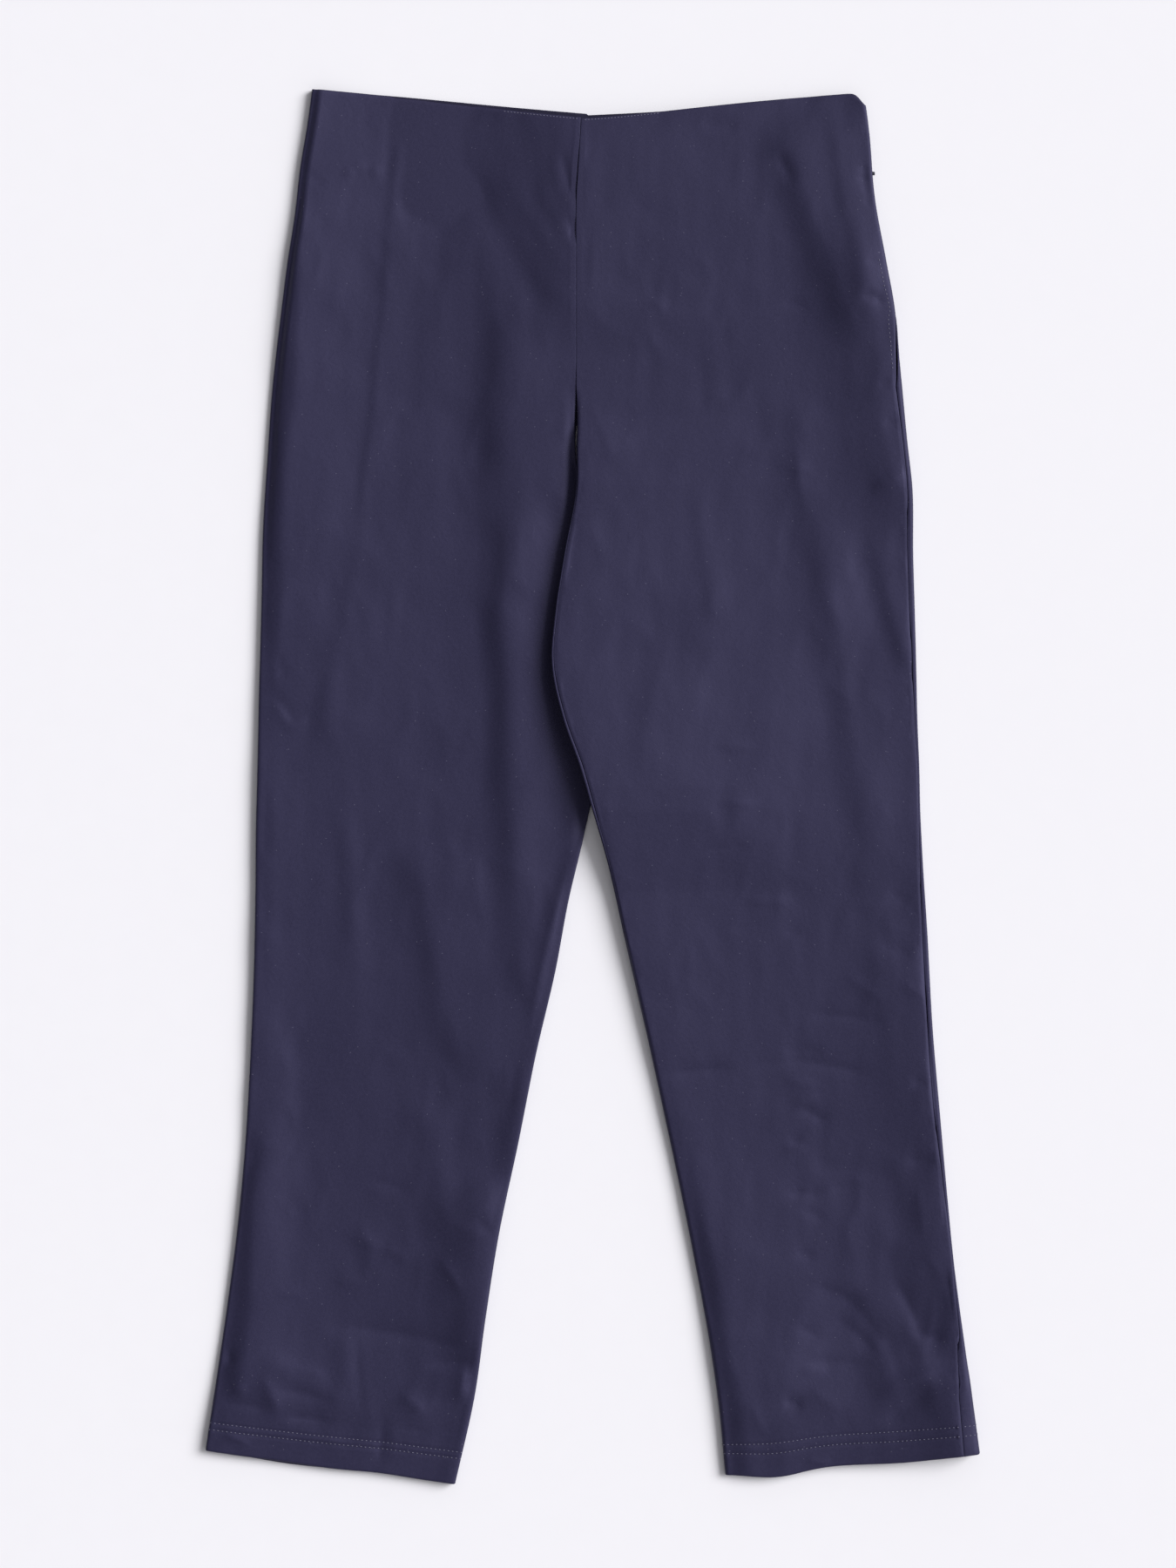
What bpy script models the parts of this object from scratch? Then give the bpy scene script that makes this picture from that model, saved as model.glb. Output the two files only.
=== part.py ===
# Straight-leg trousers laid flat, front up: metres, waist towards +Y, right and left as worn.
# Each panel is an open surface, its outer face, which a Solidify makes into cloth of even thickness.

import math
from collections import namedtuple

import bmesh
import bpy
import numpy as np

MM = 0.001

# Cloth, in millimetres
WALL = 1.2
SEAM_GAP = 0.3
HEM_DEPTH = 24.0
FACING_DEPTH = 62.0
TURN_DEPTH = 2 * WALL + SEAM_GAP
TURN_RADIUS = TURN_DEPTH / 2

# Height of the outer faces above the table, in millimetres, how far the puffed edges and the hem's
# thickness reach, and how far from an edge folds start, fading in over a share of their length
EDGE_HEIGHT = 5.6
MIDDLE_HEIGHT = 4.5
HEM_EDGE_HEIGHT = 7.0
HEM_MIDDLE_HEIGHT = 6.2
PRESSED_HEIGHT = 3.9
PUFF_WIDTH = 14.0
HEM_LEVEL = 30.0
HEM_RISE = 50.0
FOLD_START = 9.0
FOLD_FADE = 0.22

# Crotch, in millimetres: the left leg lies over the right one below the end of the two middle seams,
# and the back's middle seam lies a little to the left of the front's
BACK_SEAM_SHIFT = 4.0
SEAM_ROLL_START = 268.0
SEAM_ROLL_LENGTH = 40.0
LIFT_SLOPE = 26.0
PRESS_SLOPE = 14.0

# Zip, in millimetres
ZIP_LENGTH = 188.0
ZIP_TAPE = 0.8
ZIP_TAPE_START = 3.4
ZIP_TAPE_WIDTH = 13.0
ZIP_TAPE_DOWN = 4.0
SLIDER_DOWN = 54.0
SLIDER_THICK = 0.95
SLIDER_BOTTOM = 2.75

# Waist facing, in millimetres: how far its ends stay from the side seam and from the zip's tape
FACING_INSET = 4.0
FACING_ZIP_GAP = 0.5

# Grid of a panel: the rim step is a short first one, in millimetres, that keeps the cut edges square
ROWS = 36
EDGE_STEPS = 3
RIM_STEP = 0.2
SHORTEST_TOP_EDGE = 2.5
LAST_ROW_GAP = 14.0
ALONG_STEP = 2.0
MIDDLE_STEPS = 14
TURN_STEPS = 4
FACING_ROWS = 6
FACING_STEPS = 10
ZIP_ROWS = 16
ZIP_STEPS = 4

# A row of a leg: where its silhouette's outer and inner edges are, and how far in from them the side
# seam and the inseam lie on the upper face, with the opening left at the side seam
Station = namedtuple("Station", "outer_x outer_y inner_x inner_y side_seam side_gap inseam")

RIGHT_LEG = [
    Station(-187.2, 464.0, -7.2, 448.5, 0.0, 0.3, 0.0),
    Station(-190.2, 443.1, -8.0, 430.0, 0.0, 0.3, 0.0),
    Station(-195.4, 413.5, -10.2, 403.0, 0.0, 0.3, 0.0),
    Station(-199.6, 378.7, -10.5, 371.5, 0.0, 0.3, 0.0),
    Station(-203.9, 349.7, -10.5, 345.0, 0.0, 0.3, 0.0),
    Station(-208.5, 309.7, -10.5, 307.0, 0.0, 0.3, 0.0),
    Station(-213.5, 266.2, -10.5, 265.0, 0.0, 0.3, 0.0),
    Station(-216.3, 222.1, -10.5, 222.1, 0.0, 0.3, 0.0),
    Station(-219.2, 175.7, -4.4, 175.7, 0.0, 0.3, 0.0),
    Station(-220.7, 117.7, 3.2, 117.7, 0.0, 0.3, 0.0),
    Station(-222.6, 59.7, 6.4, 59.7, 0.0, 0.3, 0.0),
    Station(-223.8, 10.0, 3.4, 8.0, 0.0, 0.3, 0.0),
    Station(-224.4, -28.0, -5.2, -33.0, 0.0, 0.3, 0.0),
    Station(-224.8, -70.0, -16.6, -75.0, 0.0, 0.3, 0.0),
    Station(-225.6, -118.0, -24.6, -123.0, 0.0, 0.3, 0.0),
    Station(-227.9, -172.3, -37.4, -178.0, 0.0, 0.3, 0.0),
    Station(-230.6, -230.3, -49.8, -237.8, 0.0, 0.3, 0.0),
    Station(-235.8, -288.3, -63.2, -297.5, 0.0, 0.3, 0.0),
    Station(-243.3, -346.3, -73.2, -357.3, 0.0, 0.3, 0.0),
    Station(-250.0, -392.0, -79.0, -406.0, 0.0, 0.3, 0.0),
    Station(-257.5, -442.0, -91.0, -464.7, 0.0, 0.3, 0.0),
]
LEFT_LEG = [
    Station(181.6, 462.2, -6.6, 448.5, 0.13, 3.2, 0.0),
    Station(184.0, 432.7, -8.0, 425.2, 0.13, 3.2, 0.0),
    Station(186.8, 395.0, -9.8, 391.0, 0.13, 3.2, 0.0),
    Station(194.0, 349.7, -10.3, 347.0, 0.13, 3.2, 0.0),
    Station(200.4, 315.0, -10.3, 313.0, 0.13, 3.2, 0.0),
    Station(203.8, 286.0, -10.3, 285.0, 2.5, 2.4, 0.0),
    Station(205.9, 266.0, -10.3, 265.0, 5.0, 0.3, 0.0),
    Station(209.6, 228.0, -10.3, 228.0, 4.2, 0.3, 0.4),
    Station(212.6, 198.9, -10.6, 198.9, 4.6, 0.3, 1.0),
    Station(213.4, 155.0, -18.4, 155.0, 4.0, 0.3, 1.6),
    Station(214.2, 115.0, -24.6, 115.0, 3.8, 0.3, 2.0),
    Station(215.4, 73.0, -26.4, 77.0, 3.2, 0.3, 2.2),
    Station(216.4, 42.0, -19.2, 45.0, 2.4, 0.3, 2.4),
    Station(217.6, 12.0, -8.4, 14.0, 1.6, 0.3, 2.6),
    Station(218.8, -18.0, 0.4, -16.0, 1.6, 0.3, 2.4),
    Station(220.2, -48.0, 9.0, -48.0, 2.6, 0.3, 1.6),
    Station(223.0, -98.0, 20.6, -100.0, 3.6, 0.3, 0.6),
    Station(226.4, -158.0, 34.2, -161.0, 3.6, 0.3, 0.0),
    Station(230.4, -214.0, 46.2, -219.0, 4.2, 0.3, 0.0),
    Station(235.0, -265.0, 56.8, -271.0, 3.4, 0.3, 0.0),
    Station(239.6, -311.0, 65.6, -318.0, 1.4, 0.3, 0.0),
    Station(247.0, -365.0, 76.4, -373.0, 4.2, 0.3, 0.0),
    Station(252.6, -405.0, 82.6, -415.0, 9.2, 0.3, 0.0),
    Station(257.9, -443.4, 87.2, -458.2, 11.0, 0.3, 0.0),
]

# How far the waist and hem edges sag towards the hem from a straight line: the place across the leg,
# 0 at the outer edge and 1 at the inner, the width across as a share of it, the sag and its reach along
Sag = namedtuple("Sag", "end across width depth reach")

RIGHT_SAGS = [
    Sag("waist", 0.30, 0.30, -0.8, 60.0),
    Sag("hem", 0.34, 0.22, 2.0, 50.0),
    Sag("hem", 0.70, 0.12, -0.8, 40.0),
]
LEFT_SAGS = [
    Sag("waist", 0.70, 0.34, 2.0, 60.0),
    Sag("waist", 0.0, 0.028, 9.0, 44.0),
    Sag("hem", 0.80, 0.14, 4.6, 50.0),
    Sag("hem", 0.30, 0.20, 2.0, 50.0),
]
# The front's waist edge lies a little lower than the back's near the middle seams
FRONT_SAG = Sag("waist", 1.0, 0.30, 2.3, 40.0)

# Largest folds of the fronts: a soft ridge, or a trough where the height is negative, along a line
# that bows by bend to the left of its direction, all in millimetres
Fold = namedtuple("Fold", "start_x start_y end_x end_y bend half_width height")

RIGHT_FOLDS = [
    Fold(-148.0, 470.0, -160.0, 270.0, 0.0, 20.0, 0.9),
    Fold(-107.0, 470.0, -110.0, 330.0, 0.0, 9.0, -0.4),
    Fold(-84.0, 452.0, -56.0, 215.0, 6.0, 13.0, 1.2),
    Fold(-106.0, 380.0, -84.0, 120.0, 5.0, 11.0, -1.0),
    Fold(-62.0, 350.0, -44.0, -70.0, 4.0, 10.0, 1.7),
    Fold(-134.0, 395.0, -184.0, 50.0, -8.0, 6.0, -0.9),
    Fold(-196.0, 280.0, -204.0, 60.0, 0.0, 10.0, 0.9),
    Fold(-74.0, 190.0, -66.0, -40.0, 0.0, 9.0, -0.9),
    Fold(-197.0, 10.0, -190.0, -210.0, 0.0, 11.0, -0.9),
    Fold(-166.0, 60.0, -160.0, -260.0, 0.0, 13.0, 1.2),
    Fold(-130.0, 10.0, -128.0, -230.0, 0.0, 10.0, -1.0),
    Fold(-100.0, -10.0, -84.0, -260.0, 0.0, 13.0, 1.3),
    Fold(-70.0, -50.0, -92.0, -160.0, 5.0, 9.0, -0.9),
    Fold(-206.0, -260.0, -204.0, -380.0, 0.0, 9.0, 0.8),
    Fold(-140.0, -300.0, -92.0, -330.0, 3.0, 11.0, -0.9),
    Fold(-186.0, -362.0, -78.0, -380.0, 3.0, 9.0, 0.9),
]
LEFT_FOLDS = [
    Fold(138.0, 440.0, 200.0, 236.0, 8.0, 11.0, 1.5),
    Fold(120.0, 410.0, 168.0, 240.0, 6.0, 12.0, -0.9),
    Fold(162.0, 444.0, 190.0, 320.0, 4.0, 7.0, 0.7),
    Fold(150.0, 210.0, 206.0, -40.0, 6.0, 11.0, 1.6),
    Fold(126.0, 220.0, 178.0, -20.0, 6.0, 11.0, -1.0),
    Fold(66.0, 230.0, 84.0, 90.0, -3.0, 9.0, 1.1),
    Fold(58.0, 140.0, 26.0, -20.0, 0.0, 10.0, 1.2),
    Fold(82.0, 60.0, 60.0, -70.0, 0.0, 14.0, -0.9),
    Fold(178.0, -30.0, 210.0, -160.0, 0.0, 11.0, 1.0),
    Fold(54.0, -180.0, 160.0, -196.0, 3.0, 8.0, 0.7),
    Fold(126.0, -190.0, 200.0, -250.0, 4.0, 8.0, -0.7),
    Fold(186.0, -300.0, 246.0, -372.0, -10.0, 9.0, 1.2),
    Fold(140.0, -340.0, 200.0, -388.0, 4.0, 9.0, 0.9),
    Fold(196.0, -404.0, 240.0, -396.0, 0.0, 11.0, -0.8),
]

# Along Y: the height that the left leg's underside is held at over the right leg, and the X that this
# reaches before it falls to the table
Lift = namedtuple("Lift", "y height reach")

LIFTS = [
    Lift(268.0, 0.0, -8.0),
    Lift(246.0, 2.2, -8.0),
    Lift(224.0, 4.3, -6.0),
    Lift(160.0, 4.6, 2.0),
    Lift(89.0, 5.2, 9.0),
    Lift(31.0, 6.6, 9.0),
    Lift(-16.0, 6.6, 6.0),
    Lift(-56.0, 4.8, 13.0),
    Lift(-126.0, 2.2, 29.0),
    Lift(-230.0, 0.0, 51.0),
]

# Along Y: how far the right leg is pressed flat by the left leg above it, and the X where that starts
Press = namedtuple("Press", "y share start")

PRESSES = [
    Press(268.0, 0.0, -14.0),
    Press(230.0, 1.0, -14.0),
    Press(110.0, 1.0, -27.0),
    Press(65.0, 1.0, -29.0),
    Press(20.0, 1.0, -13.0),
    Press(-16.0, 1.0, -5.0),
    Press(-70.0, 0.0, -20.0),
]

Leg = namedtuple("Leg", "name stations sags folds lifted")
RIGHT = Leg("right", RIGHT_LEG, RIGHT_SAGS, RIGHT_FOLDS, False)
LEFT = Leg("left", LEFT_LEG, LEFT_SAGS, LEFT_FOLDS, True)


def smoothstep(value):
    share = np.clip(value, 0.0, 1.0)
    return share * share * (3.0 - 2.0 * share)


def curve_through(knots, values, at):
    """A smooth curve through values at rising knots, read at one place or at an array of them."""
    slopes = np.gradient(values, knots, axis=0)
    index = np.clip(np.searchsorted(knots, at) - 1, 0, len(knots) - 2)
    span = knots[index + 1] - knots[index]
    t = (at - knots[index]) / span
    return (
        values[index] * (1 + 2 * t) * (1 - t) ** 2
        + values[index + 1] * t**2 * (3 - 2 * t)
        + span * (slopes[index] * t * (1 - t) ** 2 - slopes[index + 1] * t**2 * (1 - t))
    )


def read_table(rows, key, column, at):
    """A column of a table, straight between its rows, which fall along their key."""
    keys = [getattr(row, key) for row in rows][::-1]
    values = [getattr(row, column) for row in rows][::-1]
    return np.interp(at, keys, values)


def leg_knots(leg):
    """Distance down the leg's outer edge of each station, and the stations as an array."""
    values = np.array(leg.stations)
    steps = np.hypot(np.diff(values[:, 0]), np.diff(values[:, 1]))
    return np.concatenate([[0.0], np.cumsum(steps)]), values


def leg_length(leg):
    return leg_knots(leg)[0][-1]


def station_at(leg, down):
    knots, values = leg_knots(leg)
    smooth = Station(*curve_through(knots, values, down))
    seams = [np.interp(down, knots, values[:, column]) for column in (4, 5, 6)]
    return smooth._replace(side_seam=seams[0], side_gap=seams[1], inseam=seams[2])


def fold_height(folds, x, y):
    """Sum of the folds at a place, each fading out at both ends."""
    height = np.zeros_like(x)
    for fold in folds:
        along_x, along_y = fold.end_x - fold.start_x, fold.end_y - fold.start_y
        length = math.hypot(along_x, along_y)
        along_x, along_y = along_x / length, along_y / length
        share = ((x - fold.start_x) * along_x + (y - fold.start_y) * along_y) / length
        aside = (y - fold.start_y) * along_x - (x - fold.start_x) * along_y
        aside = aside - 4.0 * fold.bend * share * (1.0 - share)
        ends = smoothstep(share / FOLD_FADE) * smoothstep((1.0 - share) / FOLD_FADE)
        height = height + fold.height * ends * np.exp(-((aside / fold.half_width) ** 2))
    return height


def lift_height(leg, x, y):
    """Height of the left leg's underside above the table."""
    if not leg.lifted:
        return np.zeros_like(x)
    falling = (x - read_table(LIFTS, "y", "reach", y)) / LIFT_SLOPE
    return read_table(LIFTS, "y", "height", y) * (1.0 - smoothstep(falling))


def press_share(leg, x, y):
    """How flat the right leg is pressed, from 0 to 1."""
    if leg.lifted:
        return np.zeros_like(x)
    start = read_table(PRESSES, "y", "start", y)
    rising = 1.0 + (x - start) / PRESS_SLOPE
    return read_table(PRESSES, "y", "share", y) * smoothstep(rising)


def thickness_at(leg, x, y, inward, to_hem):
    """Height from underside to upper face, by the distance in from the nearer edge."""
    hem = 1.0 - smoothstep((to_hem - HEM_LEVEL) / HEM_RISE)
    edge = EDGE_HEIGHT + (HEM_EDGE_HEIGHT - EDGE_HEIGHT) * hem
    middle = MIDDLE_HEIGHT + (HEM_MIDDLE_HEIGHT - MIDDLE_HEIGHT) * hem
    radius = edge / 2
    puff = np.exp(-((np.maximum(inward - radius, 0.0) / PUFF_WIDTH) ** 2))
    loose = middle + (edge - middle) * puff
    inside = smoothstep((inward - radius) / FOLD_START) * (1.0 - 0.5 * hem)
    loose = loose + fold_height(leg.folds, x, y) * inside
    pressed = press_share(leg, x, y)
    return loose + (PRESSED_HEIGHT - loose) * pressed


class Row:
    """One line across a leg, from its outer edge to its inner one, at a distance down from the waist."""

    def __init__(self, leg, down, front):
        self.leg = leg
        self.down = down
        self.front = front
        self.to_hem = leg_length(leg) - down
        self.station = station_at(leg, down)
        self.outer = np.array([self.station.outer_x, self.station.outer_y])
        self.inner = np.array([self.station.inner_x, self.station.inner_y])
        # The middle seams' edges lie flat, and below them the inner edge rolls over
        self.rolled = float(smoothstep((SEAM_ROLL_START - self.inner[1]) / SEAM_ROLL_LENGTH))
        if not front:
            self.inner[0] += BACK_SEAM_SHIFT * (1.0 - self.rolled)
        self.width = float(np.linalg.norm(self.inner - self.outer))
        self.across = (self.inner - self.outer) / self.width
        middle = (self.outer + self.inner) / 2
        before = station_at(leg, down - ALONG_STEP)
        before = np.array([before.outer_x + before.inner_x, before.outer_y + before.inner_y]) / 2
        self.along = (middle - before) / np.linalg.norm(middle - before)
        self.outer_bottom, self.outer_radius = self.edge(EDGE_HEIGHT / 2)
        self.inner_bottom, self.inner_radius = self.edge(self.width - EDGE_HEIGHT / 2)

    def edge(self, inward):
        """Height of a rolled edge's underside, and the radius that it rolls with."""
        bottom, top = self.faces(inward)
        return float(bottom), float(top - bottom) / 2

    def sag(self, share):
        total = np.zeros_like(share)
        sags = self.leg.sags + ([FRONT_SAG] if self.front else [])
        for sag in sags:
            distance = self.down if sag.end == "waist" else self.to_hem
            if distance < sag.reach:
                fading = (1.0 - distance / sag.reach) ** 2
                total = total + sag.depth * fading * np.exp(-(((share - sag.across) / sag.width) ** 2))
        return total

    def plan(self, inward):
        """X and Y at distances in from the outer edge."""
        inward = np.asarray(inward, float)
        sag = self.sag(inward / self.width)
        return (
            self.outer[0] + inward * self.across[0] + sag * self.along[0],
            self.outer[1] + inward * self.across[1] + sag * self.along[1],
        )

    def faces(self, inward):
        """Heights of the underside and the upper face at distances in from the outer edge."""
        x, y = self.plan(inward)
        nearer = np.minimum(inward, self.width - inward)
        bottom = lift_height(self.leg, x, y)
        return bottom, bottom + thickness_at(self.leg, x, y, nearer, self.to_hem)


def edge_arcs(radius, seam, gap, front):
    """Distances round a rolled edge from its seam to where the panel lies flat, 0 at the silhouette."""
    quarter = math.pi * radius / 2
    gap = gap * radius / (radius - WALL)
    if seam < radius:
        seam_arc = radius * math.acos(1.0 - seam / radius)
    else:
        seam_arc = quarter + seam - radius
    start = seam_arc + gap / 2 if front else seam_arc - gap / 2
    second = start + RIM_STEP if front else start - RIM_STEP
    end = max(quarter, seam_arc + SHORTEST_TOP_EDGE) if front else -quarter
    steps = EDGE_STEPS if front else EDGE_STEPS + 2
    return np.concatenate([[start], np.linspace(second, end, steps + 1)])


def round_edge(arcs, radius, depth, rolled, front):
    """Distance in and height above the underside of points round a rolled edge."""
    quarter = math.pi * radius / 2
    angle = np.clip(arcs / radius, -math.pi / 2, math.pi / 2)
    beyond = np.maximum(np.abs(arcs) - quarter, 0.0)
    inward = radius - (radius - depth) * np.cos(angle) + beyond
    height = radius + (radius - depth) * np.sin(angle)
    flat_inward = np.abs(arcs) * 2 / math.pi
    flat_height = 2 * radius - depth if front else depth
    return (
        flat_inward + (inward - flat_inward) * rolled,
        flat_height + (height - flat_height) * rolled,
    )


def section(leg, down, front, depth=0.0, beyond=0.0):
    """Points across a panel's outer face, or a layer inside it at depth, from side seam to inseam."""
    row = Row(leg, down, front)
    station = row.station
    outer_arcs = edge_arcs(row.outer_radius, station.side_seam, station.side_gap, front)
    inner_arcs = edge_arcs(row.inner_radius, station.inseam, SEAM_GAP, front)
    outer_in, outer_up = round_edge(outer_arcs, row.outer_radius, depth, 1.0, front)
    inner_in, inner_up = round_edge(inner_arcs, row.inner_radius, depth, row.rolled, front)
    # Steps are closer together near both edges
    share = np.linspace(0.0, 1.0, MIDDLE_STEPS + 1)
    share = (share + (1.0 - np.cos(math.pi * share)) / 2) / 2
    start, end = outer_in[-1], row.width - inner_in[-1]
    middle_in = start + (end - start) * share
    inward = np.concatenate([outer_in[:-1], middle_in, (row.width - inner_in[:-1])[::-1]])
    bottom, top = row.faces(inward)
    lying = top - depth if front else bottom + depth
    # Past the roll a panel that wraps onto the top lies on it
    outer_rolls = np.abs(outer_arcs[:-1]) <= math.pi * row.outer_radius / 2
    inner_rolls = np.abs(inner_arcs[:-1]) <= math.pi * row.inner_radius / 2
    wrapped = top - depth
    height = lying.copy()
    height[: len(outer_rolls)] = np.where(
        outer_rolls, row.outer_bottom + outer_up[:-1], wrapped[: len(outer_rolls)]
    )
    height[-len(inner_rolls) :] = np.where(
        inner_rolls[::-1], (row.inner_bottom + inner_up[:-1])[::-1], wrapped[-len(inner_rolls) :]
    )
    x, y = row.plan(inward)
    return np.stack([x + row.along[0] * beyond, y + row.along[1] * beyond, height], axis=1)


def panel_points(leg, front):
    """Rows of a panel's points from waist to hem, round the hem's fold and up inside to its end."""
    fold_line = leg_length(leg) - TURN_RADIUS
    hem_rows = [fold_line - HEM_DEPTH, fold_line - HEM_DEPTH / 2, fold_line]
    downs = list(np.linspace(0.0, hem_rows[0] - LAST_ROW_GAP, ROWS)) + hem_rows
    rows = [section(leg, down, front) for down in downs]
    for step in range(1, TURN_STEPS):
        angle = math.pi * step / TURN_STEPS
        depth = TURN_RADIUS * (1.0 - math.cos(angle))
        rows.append(section(leg, fold_line, front, depth, TURN_RADIUS * math.sin(angle)))
    rows += [section(leg, down, front, TURN_DEPTH) for down in hem_rows[::-1]]
    return np.array(rows)


def new_material(name, colour, roughness, metallic=0.0):
    material = bpy.data.materials.new(name)
    material.use_nodes = True
    shader = material.node_tree.nodes["Principled BSDF"]
    shader.inputs["Base Color"].default_value = (*colour, 1.0)
    shader.inputs["Roughness"].default_value = roughness
    shader.inputs["Metallic"].default_value = metallic
    material.diffuse_color = (*colour, 1.0)
    return material


def sheet_object(name, points, thickness, material, collection, thick_up):
    """A grid shaped by rows of points in millimetres, thickened above or below it."""
    row_count, column_count = points.shape[:2]
    grid = bmesh.new()
    bmesh.ops.create_grid(grid, x_segments=column_count - 1, y_segments=row_count - 1, size=1.0)
    for vertex in grid.verts:
        column = round((vertex.co.x + 1.0) / 2 * (column_count - 1))
        row = round((vertex.co.y + 1.0) / 2 * (row_count - 1))
        vertex.co = points[row, column] * MM
    grid.normal_update()
    # The surface of a front faces up over most of it, and that of a back faces down
    facing_up = sum(face.normal.z * face.calc_area() for face in grid.faces) > 0
    if facing_up == thick_up:
        bmesh.ops.reverse_faces(grid, faces=grid.faces[:])
    mesh = bpy.data.meshes.new(name)
    grid.to_mesh(mesh)
    grid.free()
    mesh.shade_smooth()
    sheet = bpy.data.objects.new(name, mesh)
    collection.objects.link(sheet)
    mesh.materials.append(material)
    cloth = sheet.modifiers.new("Cloth thickness", "SOLIDIFY")
    cloth.thickness = thickness * MM
    cloth.offset = -1.0
    return sheet


def add_panel(leg, front, material, collection):
    name = f"{'front' if front else 'back'}_{leg.name}"
    return sheet_object(name, panel_points(leg, front), WALL, material, collection, not front)


def facing_row(leg, share, start, end):
    """Points of the waist facing across one back panel, share of the way down to its lower edge."""
    row = Row(leg, SEAM_GAP + share * FACING_DEPTH, False)
    inward = np.linspace(start, row.width - end, FACING_STEPS)
    x, y = row.plan(inward)
    return np.stack([x, y, np.full_like(x, WALL + SEAM_GAP)], axis=1)


def add_facing(material, collection):
    """The facing lies inside the back's waist, from beside one side seam to beside the zip."""
    rows = []
    beside_zip = ZIP_TAPE_START + ZIP_TAPE_WIDTH + FACING_ZIP_GAP
    for share in np.linspace(0.0, 1.0, FACING_ROWS):
        right = facing_row(RIGHT, share, FACING_INSET, 1.0)
        left = facing_row(LEFT, share, beside_zip, 1.0)
        rows.append(np.concatenate([right, left[::-1]]))
    return sheet_object("back_waist_facing", np.array(rows), WALL, material, collection, True)


def add_zip_tape(material, collection):
    """Tape and coil as one strip along the side seam, between front and back."""
    rows = []
    for down in np.linspace(ZIP_TAPE_DOWN, ZIP_TAPE_DOWN + ZIP_LENGTH, ZIP_ROWS):
        row = Row(LEFT, down, False)
        inward = np.linspace(ZIP_TAPE_START, ZIP_TAPE_START + ZIP_TAPE_WIDTH, ZIP_STEPS)
        x, y = row.plan(inward)
        rows.append(np.stack([x, y, np.full_like(x, WALL + SEAM_GAP)], axis=1))
    return sheet_object("side_zip", np.array(rows), ZIP_TAPE, material, collection, True)


def add_slider(material, collection):
    """Slider body on the tape, with its tab laid across the side opening."""
    row = Row(LEFT, SLIDER_DOWN, False)
    # Outline in millimetres: inwards from the side edge, and along it
    outline = [(-1.3, 0.0), (0.2, -1.7), (3.8, -2.2), (4.2, -4.4), (8.4, -3.6)]
    outline += [(8.4, 3.6), (4.2, 4.4), (3.8, 2.2), (0.2, 1.7)]
    curve = bpy.data.curves.new("zip_slider", "CURVE")
    curve.dimensions = "2D"
    curve.fill_mode = "BOTH"
    curve.extrude = SLIDER_THICK / 2 * MM
    spline = curve.splines.new("POLY")
    spline.points.add(len(outline) - 1)
    for point, (inward, along) in zip(spline.points, outline):
        point.co = (inward * MM, along * MM, 0.0, 1.0)
    spline.use_cyclic_u = True
    slider = bpy.data.objects.new("zip_slider", curve)
    collection.objects.link(slider)
    x, y = row.outer * MM
    slider.location = (x, y, (SLIDER_BOTTOM + SLIDER_THICK / 2) * MM)
    slider.rotation_euler = (0.0, 0.0, math.atan2(row.across[1], row.across[0]))
    curve.materials.append(material)
    return slider


def main():
    for leftover in list(bpy.data.objects):
        bpy.data.objects.remove(leftover)
    collection = bpy.data.collections.new("Straight-leg trousers")
    bpy.context.scene.collection.children.link(collection)
    panels = [(RIGHT, True), (LEFT, True), (RIGHT, False), (LEFT, False)]
    for leg, front in panels:
        side = "Front" if front else "Back"
        cloth = new_material(f"{side} sateen, {leg.name}", (0.042, 0.039, 0.078), 0.72)
        add_panel(leg, front, cloth, collection)
    add_facing(new_material("Facing sateen", (0.036, 0.034, 0.068), 0.78), collection)
    add_zip_tape(new_material("Zip tape", (0.030, 0.029, 0.055), 0.7), collection)
    add_slider(new_material("Enamelled slider", (0.020, 0.020, 0.036), 0.4), collection)


main()
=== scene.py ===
import math
from functools import partial

import bpy
import numpy as np
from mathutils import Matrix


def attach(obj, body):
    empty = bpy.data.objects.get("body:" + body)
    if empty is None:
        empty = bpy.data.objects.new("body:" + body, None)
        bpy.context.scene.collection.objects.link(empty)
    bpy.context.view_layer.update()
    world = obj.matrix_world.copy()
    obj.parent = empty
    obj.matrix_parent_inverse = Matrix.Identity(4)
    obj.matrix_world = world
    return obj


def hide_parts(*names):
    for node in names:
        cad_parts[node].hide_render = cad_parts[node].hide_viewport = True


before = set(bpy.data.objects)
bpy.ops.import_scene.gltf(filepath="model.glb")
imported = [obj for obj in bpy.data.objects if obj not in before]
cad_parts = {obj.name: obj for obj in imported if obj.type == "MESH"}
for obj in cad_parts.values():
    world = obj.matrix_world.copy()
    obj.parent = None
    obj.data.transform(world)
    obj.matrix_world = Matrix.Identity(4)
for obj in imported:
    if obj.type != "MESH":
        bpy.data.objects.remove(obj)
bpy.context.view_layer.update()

# Straight-leg trousers laid flat, front up. Tables are in millimetres in the model's own frame,
# waist towards +Y, right and left as worn, so the right leg is at negative X.
mm = 0.001
bpy.ops.object.select_all(action="DESELECT")

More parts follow.
